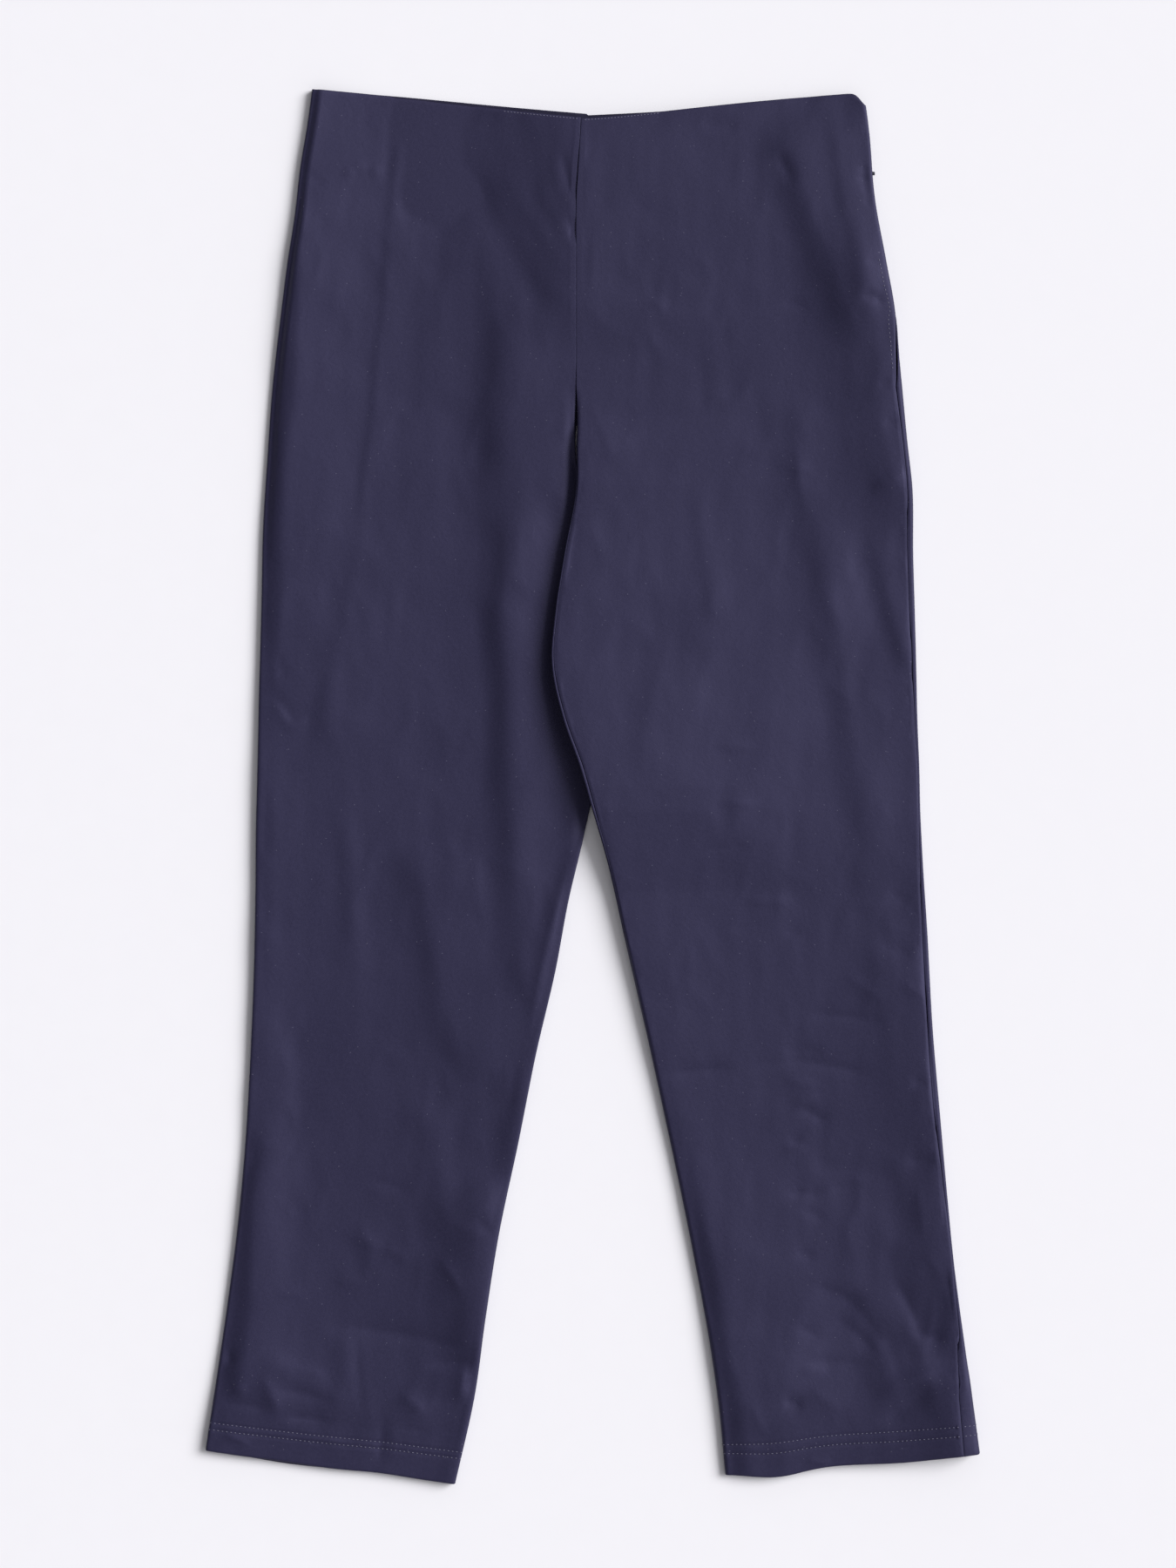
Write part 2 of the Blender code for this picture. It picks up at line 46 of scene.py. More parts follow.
# The cloth as it lies: heights of the upper face, how it rolls at the silhouette, how far its folds
# and creases reach, its grooves and the turned hem
lay = {
    "wall": 0.8,
    "edgeHeight": 5.8, "middleHeight": 3.9, "hemEdgeHeight": 7.0, "hemMiddleHeight": 6.2,
    "dipHeight": 2.6, "dipFall": 8.0, "lowestTop": 2.2,
    "puffWidth": 9.0, "puffReach": 42.0, "puffShare": 0.35,
    "hemLevel": 30.0, "hemRise": 50.0, "hemDepth": 24.0, "turnRadius": 1.1,
    "foldStart": 13.0, "foldFade": 0.22, "sharedStart": 90.0, "ridgeWidth": 8.0,
    "creaseStart": 3.0, "creaseRadius": 0.7, "creaseFade": 0.4, "creaseRise": 1.6,
    "wander": 1.3, "swelling": 0.3, "swellingFull": 1.5, "hemCalm": 0.15,
    "crumple": 0.22, "crumpleMean": 0.8, "crumpleRound": 0.03, "crumpleLeast": 0.35,
    "rumple": 0.018, "backCreaseStart": 9.0,
    "closedSeam": 0.12, "openSeam": 90.0, "seamGap": 0.05, "backSeamShift": 4.0,
    "seamRollStart": 268.0, "seamRollLength": 40.0,
    "liftSlope": 30.0, "topLiftSlope": 195.0,
    "groove": 0.26, "flatGroove": 0.2, "grooveWidth": 0.9,
    "stitchGroove": 0.45, "stitchGrooveWidth": 0.8, "topRound": 0.5, "topRoundReach": 1.3,
    "topRows": (0.0, 0.4, 0.9, 1.6, 2.6), "plainStart": 4.0, "hemMargin": 3.0,
    "turnParts": 6, "turnLength": 3.5, "turnedRows": 7,
    "rim": (0.0, 0.35, 0.8, 1.4), "rimPast": 3.2, "evenShare": 0.8,
}
# Steps of the mesh: along the leg, across it, round a rolled edge, and its rows at the hem
frontMesh = {"step": 2.15, "columns": 86, "rim": 6, "hemRows": 28}
backMesh = {"step": 4.0, "columns": 44, "rim": 9, "hemRows": 12}
# Ripples beside a seam: their wave lengths, how they come and go along it, height and reach
ripple = {
    "short": 1.9, "long": 3.3, "longShare": 0.8, "swell": 23.0, "swellShare": 0.45,
    "height": 0.07, "reach": 4.0,
}

# Each row of a leg: the silhouette's outer x, y and inner x, y. On the left leg also how far in
# from them the side seam, its opening and the inseam lie on the upper face. The right leg's seams
# are at its silhouette.
rightStations = [
    (-186.6, 464, -7.2, 448.5), (-189.4, 443.1, -8, 430), (-194.3, 413.5, -10.2, 403),
    (-198.4, 378.7, -10.5, 371.5), (-202.9, 349.7, -10.5, 345), (-208, 309.7, -10.5, 307),
    (-213.1, 266.2, -10.5, 265), (-216.3, 222.1, -10.5, 222.1), (-219.2, 175.7, -4.4, 175.7),
    (-220.4, 117.7, 3.2, 117.7), (-222, 59.7, 6.4, 59.7), (-223, 10, 3.4, 8),
    (-224, -28, -5.2, -33), (-224.3, -70, -15.2, -75), (-225.2, -118, -24.2, -123),
    (-227.3, -172.3, -37, -178), (-230.6, -230.3, -48.9, -237.8), (-235.8, -288.3, -61.6, -297.5),
    (-243.3, -346.3, -71.1, -357.3), (-250, -392, -77.9, -406), (-257.5, -442, -91, -464.7),
]
leftStations = [
    (182.6, 462.2, -7.1, 448.5, 0.13, 3, 0), (185.5, 432.7, -8.25, 425.2, 0.13, 3, 0),
    (188.5, 395, -10.3, 391, 0.13, 3, 0), (196.2, 349.7, -10.42, 347, 0.13, 3, 0),
    (202.3, 315, -10.42, 313, 0.13, 3, 0), (204.6, 286, -10.42, 285, 2.5, 2.2, 0),
    (206.5, 266, -10.42, 265, 5, 0.12, 0), (210.1, 228, -10.3, 228, 4.2, 0.12, 0.4),
    (213.3, 198.9, -10.6, 198.9, 4.6, 0.12, 1), (214, 155, -18.4, 155, 4, 0.12, 1.6),
    (215.1, 115, -24.6, 115, 3.8, 0.12, 2), (216.2, 73, -26.4, 77, 3.2, 0.12, 2.2),
    (216.9, 42, -19.2, 45, 2.4, 0.12, 2.4), (218.1, 12, -8.4, 14, 1.6, 0.12, 2.6),
    (218.8, -18, 0.4, -16, 1.6, 0.12, 2.4), (220.3, -48, 9.6, -48, 2.6, 0.12, 1.6),
    (223.5, -98, 21.5, -100, 3.6, 0.12, 0.6), (226.7, -158, 35.4, -161, 3.6, 0.12, 0),
    (231.4, -214, 48.1, -219, 4.2, 0.12, 0), (235.9, -265, 59.2, -271, 3.4, 0.12, 0),
    (240.2, -311, 68.6, -318, 1.4, 0.12, 0), (247.2, -365, 78.6, -373, 4.2, 0.12, 0),
    (252.8, -405, 84.5, -415, 9.2, 0.12, 0), (257.9, -443.4, 88.6, -458.2, 11, 0.12, 0),
]

# How far the waist and hem edges sag from a straight line: place across the leg, width across, sag
# and reach down the leg. The fronts sag a little more than the backs.
rightSags = [
    ("waist", 0.30, 0.30, -0.8, 60),
    ("hem", 0.34, 0.22, 2, 50),
    ("hem", 0.70, 0.12, -0.8, 40),
]
leftSags = [
    ("waist", 0.70, 0.34, 2, 60),
    ("waist", 0, 0.028, 9, 44),
    ("hem", 0.80, 0.14, 4.6, 50),
    ("hem", 0.30, 0.20, 2, 50),
]
frontSags = {
    "right": [("waist", 1, 0.45, 3.1, 40), ("hem", 0.32, 0.15, -1.8, 30)],
    "left": [("waist", 1, 0.28, 3.1, 40)],
}

# The two stitch rows above each hem: distances from the fold at the side seam and at the inseam
hemRows = {"right": ((18.9, 18.4), (14.4, 14.9)), "left": ((19.6, 18), (13.4, 12.8))}

# Soft folds of the fronts. Each goes down the leg or from left to right: start x, y, end x, y, bow
# to the left of its direction, half width on that side, half width on the other, and height
rightFolds = [
    (-124, 462, -155, 150, 0, 14, 3.5, 0.55), (-150, 180, -184, 10, 0, 34, 9, 0.9),
    (-112, 560, -112, 350, 0, 60, 50, -2.2), (-82, 380, -74, -70, 0, 15, 60, -1.9),
    (-60, 360, -53, -50, 0, 26, 15, 1.3), (-58, 240, -50, -120, 0, 22, 12, 0.9),
    (-50, 0, -43, -150, 0, 16, 10, 1.6), (-14, 300, -6, -70, 0, 40, 36, -1.3),
    (-82, 420, -22, 303, -3, 8, 10, -0.9), (-62, 416, -12, 332, 0, 7, 6, 0.3),
    (-38, 405, -9, 350, 0, 6, 5, 0.3), (-188, 425, -212, 20, 0, 30, 9, 2),
    (-222, 80, -227, -250, 0, 18, 10, 1.8), (-163, 20, -160, -170, 0, 8, 10, 0.5),
    (-196, -120, -199, -380, 0, 32, 15, -1), (-122, -36, -80, -206, 0, 44, 12, 2.2),
    (-106, -205, -98, -306, 0, 12, 15, 1.6), (-68, -250, -79, -402, 0, 12, 24, 4.2),
    (-217, -215, -234, -430, 0, 30, 10, 2.4), (-222, -376, -160, -412, -2, 8, 9, 0.9),
    (-162, -362, -159, -428, 0, 12, 9, 0.6),
]
leftFolds = [
    (40, 400, 20, 320, 0, 26, 20, -0.5), (70, 443, 98, 441, 0, 5, 5, -0.6),
    (122, 456, 184, 288, 0, 70, 15, 3.6), (172, 392, 212, 150, 2, 60, 30, 5.6),
    (156, 460, 186, 300, 2, 24, 7, 1), (140, 262, 162, 130, -2, 28, 14, 1.5),
    (149, 190, 201, -80, -2, 26, 13, 2), (120, 170, 124, -80, 0, 90, 70, 1.5),
    (186, 180, 213, 70, 0, 12, 7, 1.3), (66, 206, 84, 95, 0, 9, 4, 0.45),
    (54, 116, 31, -6, 0, 40, 9, 0.6), (16, -60, 92, -480, 0, 60, 6, 1.4),
    (70, -240, 112, -480, 0, 80, 12, 2), (176, -30, 204, -170, 0, 14, 12, 0.7),
    (212, -80, 240, -350, 0, 6, 30, 2.4), (145, -250, 202, -256, 0, 7, 6, -0.5),
    (247, -378, 251, -462, 0, 11, 36, 6.4), (246, -260, 250, -520, 0, 30, 110, 2.8),
]
# Shared by both legs across the centre seam
sharedFolds = [
    (-14, 520, -16, 170, 0, 400, 60, 3.3),
    (-6, 455, -10, 285, 0, 70, 24, 2.2),
]

# Sharper creases, in the same order of values
rightCreases = [
    (-108, 560, -100, 310, 0, 36, 44, -1.1), (-184, 640, -216, 60, 0, 46, 12, 2),
    (-166, 411, -157, 407, 0, 2.5, 2.5, 0.3), (-160, 414, -148, 411, 0, 2.5, 2.5, 0.3),
    (-150, 409, -139, 411, 0, 2.5, 2.5, 0.3), (-196, 415, -176, 397, 0, 5, 4, -0.25),
    (-204, 394, -190, 365, 0, 5, 5, 0.5), (-129, 464, -137, 398, -1, 3, 3, -0.4),
    (-130, 397, -105, 390, 2, 3, 3, 0.35), (-104, 392, -86, 382, 0, 4, 4, -0.4),
    (-20, 426, -11, 386, -1, 3, 3, -0.5), (-25, 424, -20, 388, -1, 3, 3, 0.12),
    (-16, 382, -11, 360, 0, 3, 3, -0.5), (-217, 67, -194, 39, 0, 4, 4, -0.4),
    (-213, 60, -199, 35, 0, 3, 3, 0.35), (-204, 37, -188, 46, 0, 3, 3, 0.3),
    (-210, 92, -204, 68, 0, 3, 3, -0.3), (-56, -180, -58, -214, 0, 6, 7, 0.4),
    (-12, -38, -44, -176, -2, 3, 8, 0.8), (-153, -262, -118, -271, 1, 4, 4, -0.4),
    (-202, -283, -187, -282, 0, 3, 3, -0.25), (-163, -300, -137, -308, 1, 5, 4, 0.45),
    (-141, -306, -117, -318, 0, 5, 4, 0.45), (-173, -331, -151, -330, 1, 4, 3, 0.35),
    (-215, -337, -189, -338, 0, 4, 3, 0.3), (-186, -358, -62, -380, 3, 11, 8, -1.2),
    (-103, -310, -83, -342, 0, 5, 4, 0.7), (-97, -287, -67, -304, 0, 5, 5, 0.3),
    (-79, -285, -65, -299, 0, 4, 4, -0.4), (-157, -360, -152, -426, -1, 3, 4, -0.4),
    (-139, -416, -142, -458, 0, 4, 4, -0.6), (-130, -401, -108, -420, 0, 6, 6, 1),
    (-85, -382, -88, -412, 0, 4, 12, 1.3), (-114, -386, -76, -384, 1, 4, 4, -0.7),
    (-222, -390, -207, -420, 1, 5, 4, 0.7), (-250, -410, -208, -416, 1, 7, 4, -1),
    (-241, -399, -228, -403, 0, 3, 3, 0.5), (-214, -402, -168, -413, 3, 7, 4, -1),
    (-210, -420, -168, -424, 1, 5, 3, -0.9), (-204, -385, -172, -398, 2, 5, 5, 0.4),
    (-238, -386, -246, -374, 0, 4, 5, -0.6), (-246, -431, -226, -438, 0, 3, 3, 0.6),
    (-200, -433, -160, -437, 1, 4, 4, 0.4), (-134, -426, -104, -432, 1, 4, 4, -0.4),
]
leftCreases = [
    (122, 425, 135, 398, 0, 5, 5, -0.8), (176, 413, 192, 407, 0, 1.6, 1.6, -0.5),
    (174, 405, 194, 401, 1, 1.8, 1.8, -0.6), (178, 398, 194, 396, 0, 1.6, 1.6, -0.5),
    (179, 391, 195, 387, 0, 1.6, 1.6, -0.4), (180, 350, 197, 346, 0, 1.6, 1.6, -0.3),
    (175, 325, 196, 318, 4, 4, 4, -0.7), (124, 322, 147, 315, 2, 3, 3, -0.25),
    (189, 269, 199, 267, 0, 3, 3, -0.25), (192, 242, 205, 242, 0, 4, 4, -0.3),
    (184, 197, 212, 208, 0, 7, 4, 0.9), (37, 324, 51, 317, 0, 2.5, 2.5, 0.3),
    (-2, 262, 18, 206, 0, 14, 6, 0.35), (134, 240, 143, 176, -1, 6, 3, 0.4),
    (120, 213, 152, 207, 2, 2.5, 2.5, 0.25), (82, 26, 112, 27, 0, 3, 3, 0.35),
    (80, -10, 114, -12, 0, 3, 3, 0.4), (69, -43, 108, -39, 0, 3, 3, -0.25),
    (98, -76, 137, -77, 0, 5, 5, 0.5), (89, -97, 119, -90, 0, 3, 3, -0.25),
    (127, -101, 141, -93, 0, 3, 3, -0.25), (195, -69, 214, -79, 0, 6, 8, -0.35),
    (189, -91, 216, -99, 0, 5, 5, 0.15), (187, -103, 216, -113, 0, 6, 6, -0.4),
    (165, -123, 198, -145, 0, 6, 7, 0.5), (136, -151, 198, -157, 1, 3, 3, -0.45),
    (204, -130, 223, -140, 0, 4, 4, 0.4), (43, -194, 101, -188, 2, 4, 4, -0.7),
    (99, -188, 152, -180, 0, 3, 3, -0.3), (126, -178, 157, -176, 1, 3, 3, -0.4),
    (123, -182, 192, -194, 2, 3, 3, -0.5), (127, -194, 152, -200, 0, 4, 3, 0.35),
    (133, -213, 153, -206, 0, 4, 3, 0.35), (136, -212, 159, -225, 0, 4, 3, -0.6),
    (129, -236, 142, -236, 0, 3, 3, -0.35), (127, -241, 144, -240, 0, 3, 3, 0.35),
    (125, -271, 159, -269, -1, 4, 3, -0.6), (156, -270, 182, -265, 1, 4, 3, -0.4),
    (136, -279, 159, -291, 0, 4, 3, -0.35), (211, -197, 225, -197, 0, 3, 3, -0.5),
    (207, -249, 231, -250, 0, 5, 5, -0.8), (216, -258, 222, -312, 0, 9, 5, 0.4),
    (218, -304, 236, -332, 0, 12, 6, 0.5), (196, -300, 203, -342, 1, 9, 14, -0.5),
    (199, -326, 219, -370, 3, 17, 12, -1.8), (208, -363, 238, -370, 1, 11, 8, -1.5),
    (184, -408, 236, -385, 1, 12, 6, 1.3), (188, -426, 230, -399, 0, 6, 14, -1.3),
    (160, -335, 196, -376, 4, 8, 50, -1.2), (188, -373, 217, -364, 0, 7, 30, -1.2),
    (145, -330, 184, -346, 0, 5, 36, -0.8), (156, -350, 198, -389, 3, 7, 44, -1.1),
    (132, -384, 200, -388, 2, 5, 40, -0.9), (137, -390, 160, -388, 0, 3, 3, 0.4),
    (134, -358, 154, -368, 0, 4, 4, -0.4), (126, -408, 142, -412, 0, 3, 4, -0.8),
    (142, -398, 168, -418, 0, 8, 6, 0.6), (104, -405, 116, -436, 0, 12, 8, 0.8),
    (134, -310, 150, -313, 0, 3, 3, -0.4), (139, -446, 161, -452, 0, 4, 4, 0.4),
]

# Creases of the backs stand off the table, so that the rest lies flat on it
backCreases = {
    "right": [
        (-60, 400, -150, 300, 8, 7, 7, 0.7), (-30, 300, -110, 180, 6, 8, 8, 0.9),
        (-40, 220, -90, 60, 4, 7, 7, 0.8), (-150, 120, -170, -120, 6, 9, 9, 0.6),
        (-100, 20, -120, -200, -4, 8, 8, 0.7), (-200, -180, -110, -210, 3, 5, 5, 0.5),
        (-190, -300, -90, -318, -4, 5, 5, 0.6),
    ],
    "left": [
        (50, 410, 140, 310, -6, 7, 7, 0.7), (20, 300, 100, 170, -8, 8, 8, 0.9),
        (60, 200, 90, 20, 4, 7, 7, 0.7), (150, 140, 180, -100, -5, 9, 9, 0.6),
        (90, -20, 120, -220, 5, 8, 8, 0.7), (80, -240, 190, -262, 4, 5, 5, 0.5),
        (110, -340, 210, -352, -3, 5, 5, 0.6),
    ],
}

# Along Y: height of the left leg's underside over the right leg, and the X that this reaches
lifts = [
    (268, 0, -8), (246, 1.2, -8), (224, 4.4, -6), (200, 6.4, -6), (160, 7.6, -6),
    (89, 9.8, -10), (60, 11.8, -8), (31, 13.4, -6), (0, 13.8, 0), (-16, 13, 4),
    (-40, 9.5, 10), (-70, 5.4, 16), (-126, 2.6, 29), (-230, 0, 51),
]
# Along Y: how much the right leg dips to lie flat under the left one, and the X where it has done
dips = [
    (268, 0, -11), (240, 0.3, -10.5), (222, 0.8, -10.5), (205, 1, -10.5), (180, 1, -13),
    (147, 1, -18.5), (110, 1, -24.5), (70, 1, -26.5), (45, 1, -21), (14, 1, -10),
    (-16, 1, -3), (-45, 0, -8),
]
# Along Y: change of the outer edge's height, how round it rolls, and the same of the inner edge
rightEdges = [
    (450, 0.3, 0.6, 0, 0.5), (385, -0.3, 0.6, 0, 0.5), (310, -0.5, 0.7, 0, 0.5),
    (262, -1.7, 1, -1.6, 0.5), (200, -1.7, 1, -1.6, 0.5), (120, -0.7, 0.6, -1.6, 0.5),
    (0, -1.1, 0.6, -1, 0.5), (-40, -1.2, 0.6, 0.3, 0.35), (-60, -1.2, 0.6, 1, 0.35),
    (-115, -1.2, 0.6, 1, 0.35), (-140, -1.2, 0.6, 0.2, 0.4), (-180, -1.2, 0.6, 0.4, 0.4),
    (-205, -0.7, 0.6, 1.4, 0.4), (-230, -1, 0.8, 1, 0.5), (-265, -1.6, 1, 0.2, 0.5),
    (-395, -1.6, 1, 0.4, 0.5), (-430, -0.4, 0.6, 0.6, 0.5),
]
leftEdges = [
    (450, 0.6, 0.55, 0, 1), (400, 0, 0.55, 0, 1), (268, 0, 0.55, 0, 1),
    (224, 0, 0.55, -0.6, 0.45), (-16, 0, 0.55, -0.6, 0.4), (-70, 0, 0.55, -0.4, 0.9),
    (-180, 0, 0.55, -0.5, 1), (-240, 0, 0.5, -1.4, 1), (-300, 0.7, 0.4, -1.6, 1),
    (-345, 0.9, 0.4, -1.6, 1), (-380, 1.2, 0.4, -1.7, 1), (-430, 0, 0.4, -1.8, 1),
]

legs = {
    "right": {
        "stations": np.array([(*row, 0.0, lay["closedSeam"], 0.0) for row in rightStations]),
        "sags": rightSags, "folds": rightFolds, "creases": rightCreases, "edges": rightEdges,
        "keeps": (1.0, 0.8), "lifted": False, "puckerStart": 0.0,
    },
    "left": {
        "stations": np.array(leftStations),
        "sags": leftSags, "folds": leftFolds, "creases": leftCreases, "edges": leftEdges,
        "keeps": (0.85, 1.0), "lifted": True, "puckerStart": 1.3,
    },
}


def smoothStep(value):
    share = np.clip(value, 0.0, 1.0)
    return share * share * (3.0 - 2.0 * share)


def bell(distance, width):
    return np.exp(-((distance / width) ** 2))


def mix(first, second, share):
    return first + (second - first) * share


def curveThrough(knots, values, at):
    slopes = np.gradient(values, knots, axis=0)
    index = int(np.clip(np.searchsorted(knots, at) - 1, 0, len(knots) - 2))
    span = knots[index + 1] - knots[index]
    t = (at - knots[index]) / span
    return (
        values[index] * (1 + 2 * t) * (1 - t) ** 2
        + values[index + 1] * t**2 * (3 - 2 * t)
        + span * (slopes[index] * t * (1 - t) ** 2 - slopes[index + 1] * t**2 * (1 - t))
    )


def readTable(rows, column, at):
    keys = [row[0] for row in rows][::-1]
    return np.interp(at, keys, [row[column] for row in rows][::-1])


def readBetween(at, knots, rows):
    return np.stack([np.interp(at, knots, column) for column in np.transpose(rows)], axis=-1)


def runAlong(points):
    steps = np.linalg.norm(np.diff(points, axis=0), axis=1)
    return np.concatenate([[0.0], np.cumsum(steps)])


for leg in legs.values():
    leg["knots"] = runAlong(leg["stations"][:, :2])
    leg["length"] = leg["knots"][-1]


def foldHeight(folds, x, y, sharp=False):
    height = np.zeros_like(x)
    lowY, highY = y.min(), y.max()
    for startX, startY, endX, endY, bend, widePlus, wideMinus, rise in folds:
        reach = 4.0 * max(widePlus, wideMinus) + abs(bend)
        if max(startY, endY) + reach < lowY or min(startY, endY) - reach > highY:
            continue
        length = math.hypot(endX - startX, endY - startY)
        alongX, alongY = (endX - startX) / length, (endY - startY) / length
        share = ((x - startX) * alongX + (y - startY) * alongY) / length
        aside = (y - startY) * alongX - (x - startX) * alongY - 4.0 * bend * share * (1.0 - share)
        fade = lay["creaseFade"] if sharp else lay["foldFade"]
        ends = smoothStep(share / fade) * smoothStep((1.0 - share) / fade)
        wide = np.where(aside > 0, widePlus, wideMinus)
        if sharp:
            rounded = np.sqrt(aside**2 + lay["creaseRadius"] ** 2) - lay["creaseRadius"]
            height += lay["creaseRise"] * rise * ends * np.exp(-rounded / wide)
        else:
            height += rise * ends * bell(aside, wide)
    return height


def unevenField(seed, count, shortest, longest, stretch):
    # A smooth uneven field of about unit size, its waves longer along the leg by the stretch
    seeded = np.random.default_rng(seed)
    lengths = np.exp(seeded.uniform(math.log(shortest), math.log(longest), count))
    turns = seeded.uniform(0.0, math.pi, count)
    phases = seeded.uniform(0.0, 2 * math.pi, count)
    sizes = (lengths / longest) ** 0.8
    sizes = sizes * math.sqrt(2.0 / float(np.sum(sizes**2)))

    def field(x, y):
        total = np.zeros_like(x)
        for long, turn, phase, size in zip(lengths, turns, phases, sizes):
            rate = 2 * math.pi / long
            way = x * math.cos(turn) + y * math.sin(turn) / stretch
            total += size * np.sin(rate * way + phase)
        return total

    return field


wander = (unevenField(3, 8, 45.0, 150.0, 1.4), unevenField(4, 8, 45.0, 150.0, 1.4))
swelling = unevenField(5, 9, 40.0, 120.0, 1.3)
crumpling = unevenField(7, 26, 15.0, 75.0, 1.7)
crumplePatches = unevenField(8, 8, 60.0, 170.0, 1.2)
rumpling = unevenField(9, 22, 7.0, 20.0, 2.2)


def crumpleHeight(x, y):
    # Low soft rumples with a crease where the field changes sign, stronger in some patches
    wave = crumpling(x, y)
    creased = lay["crumpleMean"] - np.sqrt(wave * wave + lay["crumpleRound"])
    amount = 0.5 + 0.5 * np.tanh(crumplePatches(x, y))
    amount = mix(lay["crumpleLeast"], 1.0, amount)
    return lay["crumple"] * amount * creased + lay["rumple"] * rumpling(x, y)


def liftHeight(leg, x, y, reach):
    if not leg["lifted"]:
        return np.zeros_like(x)
    falling = (x - readTable(lifts, 2, y)) / reach
    falling = 0.5 * np.clip(falling, 0.0, 1.0) + 0.5 * smoothStep(falling)
    return readTable(lifts, 1, y) * (1.0 - falling)


def dipped(leg, x, y, height):
    # The right leg's face beside and under the left leg
    if leg["lifted"]:
        return height
    falling = readTable(dips, 1, y) * smoothStep(1.0 + (x - readTable(dips, 2, y)) / lay["dipFall"])
    return mix(height, lay["dipHeight"], falling)


def thicknessAt(leg, x, y, outward, inward, toHem):
    # outward and inward are the ways to the leg's two edges, the inner one far at the centre seam
    hem = 1.0 - smoothStep((toHem - lay["hemLevel"]) / lay["hemRise"])
    edge = mix(lay["edgeHeight"], lay["hemEdgeHeight"], hem)
    middle = mix(lay["middleHeight"], lay["hemMiddleHeight"], hem)
    radius = edge / 2
    nearer = np.minimum(outward, inward)
    keep = np.where(outward < inward, *leg["keeps"])
    beyond = np.maximum(nearer - radius, 0.0)
    puff = lay["puffShare"] * bell(beyond, lay["puffWidth"])
    puff += (1.0 - lay["puffShare"]) * bell(beyond, lay["puffReach"])
    loose = mix(middle, edge, puff)
    softX = x + lay["wander"] * wander[0](x, y)
    softY = y + lay["wander"] * wander[1](x, y)
    broad = foldHeight(leg["folds"], softX, softY)
    swollen = swelling(x, y) * np.tanh(broad / lay["swellingFull"])
    broad += lay["swelling"] * swollen
    fine = foldHeight(leg["creases"], x, y, sharp=True) + crumpleHeight(x, y)
    loose += broad * mix(keep, 1.0, smoothStep((nearer - radius) / lay["foldStart"]))
    fine = fine * smoothStep((nearer - radius) / lay["creaseStart"])
    loose += fine * (1.0 - lay["hemCalm"] * hem)
    shared = smoothStep((outward - radius) / lay["sharedStart"])
    loose += foldHeight(sharedFolds, x, y) * shared
    for column, distance in ((1, outward), (3, inward)):
        near = bell(np.maximum(distance - radius, 0.0), lay["ridgeWidth"])
        loose += readTable(leg["edges"], column, y) * near
    return dipped(leg, x, y, np.maximum(loose, lay["lowestTop"]))


class Row:
    # One line across a leg, from its outer edge to its inner one, at a distance down from the waist
    def __init__(self, name, down, front):
        self.name, self.leg, self.down, self.front = name, legs[name], down, front
        self.toHem = self.leg["length"] - down
        knots, stations = self.leg["knots"], self.leg["stations"]
        smooth = curveThrough(knots, stations, down)
        self.seam, self.gap, self.inseam = readBetween(down, knots, stations[:, 4:])
        self.outer, self.inner = smooth[0:2].copy(), smooth[2:4].copy()
        rise = (lay["seamRollStart"] - self.inner[1]) / lay["seamRollLength"]
        self.rolled = float(smoothStep(rise))
        if not front:
            self.inner[0] += lay["backSeamShift"] * (1.0 - self.rolled)
        self.width = float(np.linalg.norm(self.inner - self.outer))
        self.across = (self.inner - self.outer) / self.width
        before = curveThrough(knots, stations, down - 2.0)
        step = (smooth[0:2] + smooth[2:4] - before[0:2] - before[2:4]) / 2
        self.along = step / np.linalg.norm(step)
        self.outerBottom, self.outerRadius = self.edge(lay["edgeHeight"] / 2)
        self.innerBottom, self.innerRadius = self.edge(self.width - lay["edgeHeight"] / 2)

    def edge(self, inward):
        bottom, top = self.faces(np.array([inward]))
        return float(bottom[0]), float(top[0] - bottom[0]) / 2

    def sag(self, share):
        total = np.zeros_like(share)
        sags = self.leg["sags"] + (frontSags[self.name] if self.front else [])
        for end, across, width, depth, reach in sags:
            distance = self.down if end == "waist" else self.toHem
            if distance < reach:
                fading = (1.0 - distance / reach) ** 2
                total += depth * fading * bell(share - across, width)
        return total

    def plan(self, inward):
        sag = self.sag(inward / self.width)
        return (
            self.outer[0] + inward * self.across[0] + sag * self.along[0],
            self.outer[1] + inward * self.across[1] + sag * self.along[1],
        )

    def faces(self, inward):
        x, y = self.plan(inward)
        beside = self.width - inward + lay["openSeam"] * (1.0 - self.rolled)
        lifted = liftHeight(self.leg, x, y, lay["topLiftSlope"])
        top = lifted + thicknessAt(self.leg, x, y, inward, beside, self.toHem)
        return liftHeight(self.leg, x, y, lay["liftSlope"]), top


def edgeArcs(radius, seam, gap, front):
    # Distances round a rolled edge from its seam to where the panel lies flat, 0 at the silhouette
    quarter = math.pi * radius / 2
    seamArc = radius * math.acos(1.0 - seam / radius) if seam < radius else quarter + seam - radius
    side = 1.0 if front else -1.0
    start = seamArc + side * gap / 2
    end = max(quarter, seamArc + lay["rimPast"]) if front else -quarter
    rim = start + side * np.array(lay["rim"])
    count = (frontMesh if front else backMesh)["rim"]
    return np.concatenate([rim, np.linspace(rim[-1], end, count)[1:]])


